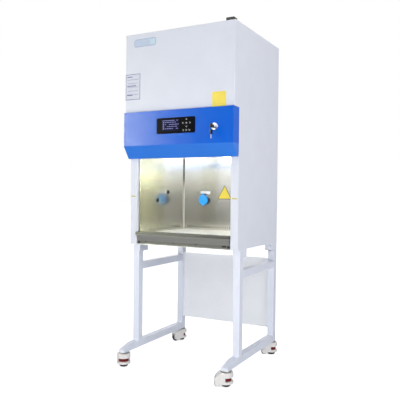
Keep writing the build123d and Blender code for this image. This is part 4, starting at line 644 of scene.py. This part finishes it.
# Symbols on the keys: arrows, a ring with a dot, a lamp, a fan and a socket.
SYMBOL_FILM = 0.0001
FAN_HUB, FAN_REACH, FAN_BLADE = 0.001, 0.0032, 0.0019
fan = [disc(0, 0, FAN_HUB, 12)]
for turn in (math.tau * blade / 3 for blade in range(3)):
    fan.append(disc(FAN_REACH * math.cos(turn), FAN_REACH * math.sin(turn), FAN_BLADE, 12))
KEY_SYMBOLS = {
    "key_up": [arrow(math.pi / 2)],
    "key_down": [arrow(-math.pi / 2)],
    "key_left": [arrow(math.pi)],
    "key_right": [arrow(0)],
    "key_enter": [ring(0, 0, 0.0042, 0.0026), disc(0, 0, 0.0014, 12)],
    "key_lamp": [ring(0, 0.001, 0.0034, 0.0022), rectangle(0, -0.0038, 0.0034, 0.0012)],
    "key_fan": fan,
    "key_socket": [ring(0, 0, 0.0044, 0.0032), disc(-0.0015, 0, 0.0008, 10),
                   disc(0.0015, 0, 0.0008, 10)],
}
for name, loops in KEY_SYMBOLS.items():
    low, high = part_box(name)
    fit(f"{name}_symbol", loops,
        facing_front((low.x + high.x) / 2, low.y, (low.z + high.z) / 2), SYMBOL_FILM,
        PRINT, name)

# ------------------------------------------------------------------ stage
FLOOR_HALF = 30.0
GROUND_LIGHT, GROUND_SHADE = (0.93, 0.93, 0.94, 1.0), (0.91, 0.91, 0.92, 1.0)
GROUND_MIRRORED = (0.16, 0.16, 0.155, 1.0)       # how bright the floor is in mirror images
GROUND_GLOW = 0.75                               # lifts the floor to white for the camera
floor_mesh = bpy.data.meshes.new("floor")
floor_mesh.from_pydata([(-FLOOR_HALF, -FLOOR_HALF, 0), (FLOOR_HALF, -FLOOR_HALF, 0),
                        (FLOOR_HALF, FLOOR_HALF, 0), (-FLOOR_HALF, FLOOR_HALF, 0)],
                       [], [(0, 1, 2, 3)])
floor = bpy.data.objects.new("floor", floor_mesh)
bpy.context.scene.collection.objects.link(floor)
ground = Shader("floor_paper", GROUND_LIGHT, Roughness=0.7, Specular_IOR_Level=0.0)
ray = ground.node("ShaderNodeLightPath")
mottled = ground.mix(ground.noise(2.0), GROUND_LIGHT, GROUND_SHADE)
ground.link(ground.mix(ray.outputs["Is Glossy Ray"], mottled, GROUND_MIRRORED), "Base Color")
ground.set("Emission Color", (1.0, 1.0, 1.0, 1.0))
ground.link(ground.span(ray.outputs["Is Camera Ray"], 0.0, 1.0, 0.0, GROUND_GLOW),
           "Emission Strength")
floor_mesh.materials.append(ground.material)

# The world lights softly. Seen directly, in mirrors or through glass, it is plain white.
SKY_COLOR, SKY_STRENGTH = (0.93, 0.95, 1.0, 1.0), 0.42
SEEN_COLOR, SEEN_STRENGTH = (1.0, 1.0, 1.0, 1.0), 1.0
world = bpy.data.worlds.new("studio")
bpy.context.scene.world = world
world.use_nodes = True
sky = world.node_tree
background = sky.nodes["Background"]
background.inputs["Color"].default_value = SKY_COLOR
background.inputs["Strength"].default_value = SKY_STRENGTH
seen = sky.nodes.new("ShaderNodeBackground")
seen.inputs["Color"].default_value = SEEN_COLOR
seen.inputs["Strength"].default_value = SEEN_STRENGTH
rays = sky.nodes.new("ShaderNodeLightPath")
direct = rays.outputs["Is Camera Ray"]
for kind in ("Is Glossy Ray", "Is Transmission Ray"):
    either = sky.nodes.new("ShaderNodeMath")
    either.operation = "MAXIMUM"
    sky.links.new(direct, either.inputs[0])
    sky.links.new(rays.outputs[kind], either.inputs[1])
    direct = either.outputs[0]
mixer = sky.nodes.new("ShaderNodeMixShader")
for source, socket in zip((direct, background.outputs[0], seen.outputs[0]), mixer.inputs):
    sky.links.new(source, socket)
sky.links.new(mixer.outputs[0], sky.nodes["World Output"].inputs["Surface"])


def softbox(name, place, target, size, power, color=(1.0, 1.0, 1.0)):
    """A rectangular lamp that points at a target: size is width and height, power in watts."""
    lamp = bpy.data.lights.new(name, "AREA")
    lamp.shape = "RECTANGLE"
    lamp.size, lamp.size_y = size
    lamp.energy = power
    lamp.color = color
    obj = bpy.data.objects.new(name, lamp)
    bpy.context.scene.collection.objects.link(obj)
    obj.location = place
    obj.rotation_euler = (Vector(target) - Vector(place)).to_track_quat("-Z", "Y").to_euler()
    return obj


softbox("key", (-1.9, -3.6, 3.0), (0, 0, 1.2), (2.2, 2.0), power=9.5)
strip = softbox("strip", (-2.65, -2.95, 1.75), (-0.3, -0.3, 1.35), (0.7, 1.5), power=190,
                color=(0.98, 1.0, 0.78))
strip.visible_diffuse = False
softbox("fill", (3.3, -1.2, 1.9), (0, 0, 1.0), (2.0, 2.8), power=43)
low_box = softbox("low", (0.2, -3.0, 0.35), (0, 0.5, 0.35), (2.6, 0.6), power=33)
low_box.visible_glossy = False
softbox("top", (0.0, 0.2, 4.2), (0, 0, 1.0), (3.0, 3.0), power=30)
softbox("rear", (-1.5, 3.6, 2.4), (0, 0, 1.1), (2.4, 2.4), power=25)

# ------------------------------------------------------------------ camera
# Solved from the photo: angles in degrees, lengths in metres, the rest in its pixels.
PHOTO_SIZE = 400
FOCAL_LENGTH = 531.026
AXIS_X, AXIS_Y = 214.62, 198.25         # where the optical axis meets the photo
SENSOR = 36.0                           # in millimetres
YAW, PITCH, ROLL = (math.radians(angle) for angle in (27.4231, -0.6200, 0.6008))
EYE = Vector((1.5351, COLUMN_Y - 2.5572, 1.00746))
forward = Vector((-math.sin(YAW) * math.cos(PITCH), math.cos(YAW) * math.cos(PITCH),
                  math.sin(PITCH)))
level = Vector((math.cos(YAW), math.sin(YAW), 0))
above = level.cross(forward)
right = math.cos(ROLL) * level + math.sin(ROLL) * above
up = math.cos(ROLL) * above - math.sin(ROLL) * level
lens = bpy.data.cameras.new("camera")
lens.sensor_width = SENSOR
lens.lens = FOCAL_LENGTH / PHOTO_SIZE * SENSOR
lens.shift_x = (PHOTO_SIZE / 2 - AXIS_X) / PHOTO_SIZE
lens.shift_y = (AXIS_Y - PHOTO_SIZE / 2) / PHOTO_SIZE
lens.clip_end = 200.0
camera = bpy.data.objects.new("camera", lens)
bpy.context.scene.collection.objects.link(camera)
camera.matrix_world = Matrix((
    (right.x, up.x, -forward.x, EYE.x),
    (right.y, up.y, -forward.y, EYE.y),
    (right.z, up.z, -forward.z, EYE.z),
    (0, 0, 0, 1),
))
bpy.context.scene.camera = camera
bpy.context.scene.view_settings.view_transform = "Standard"
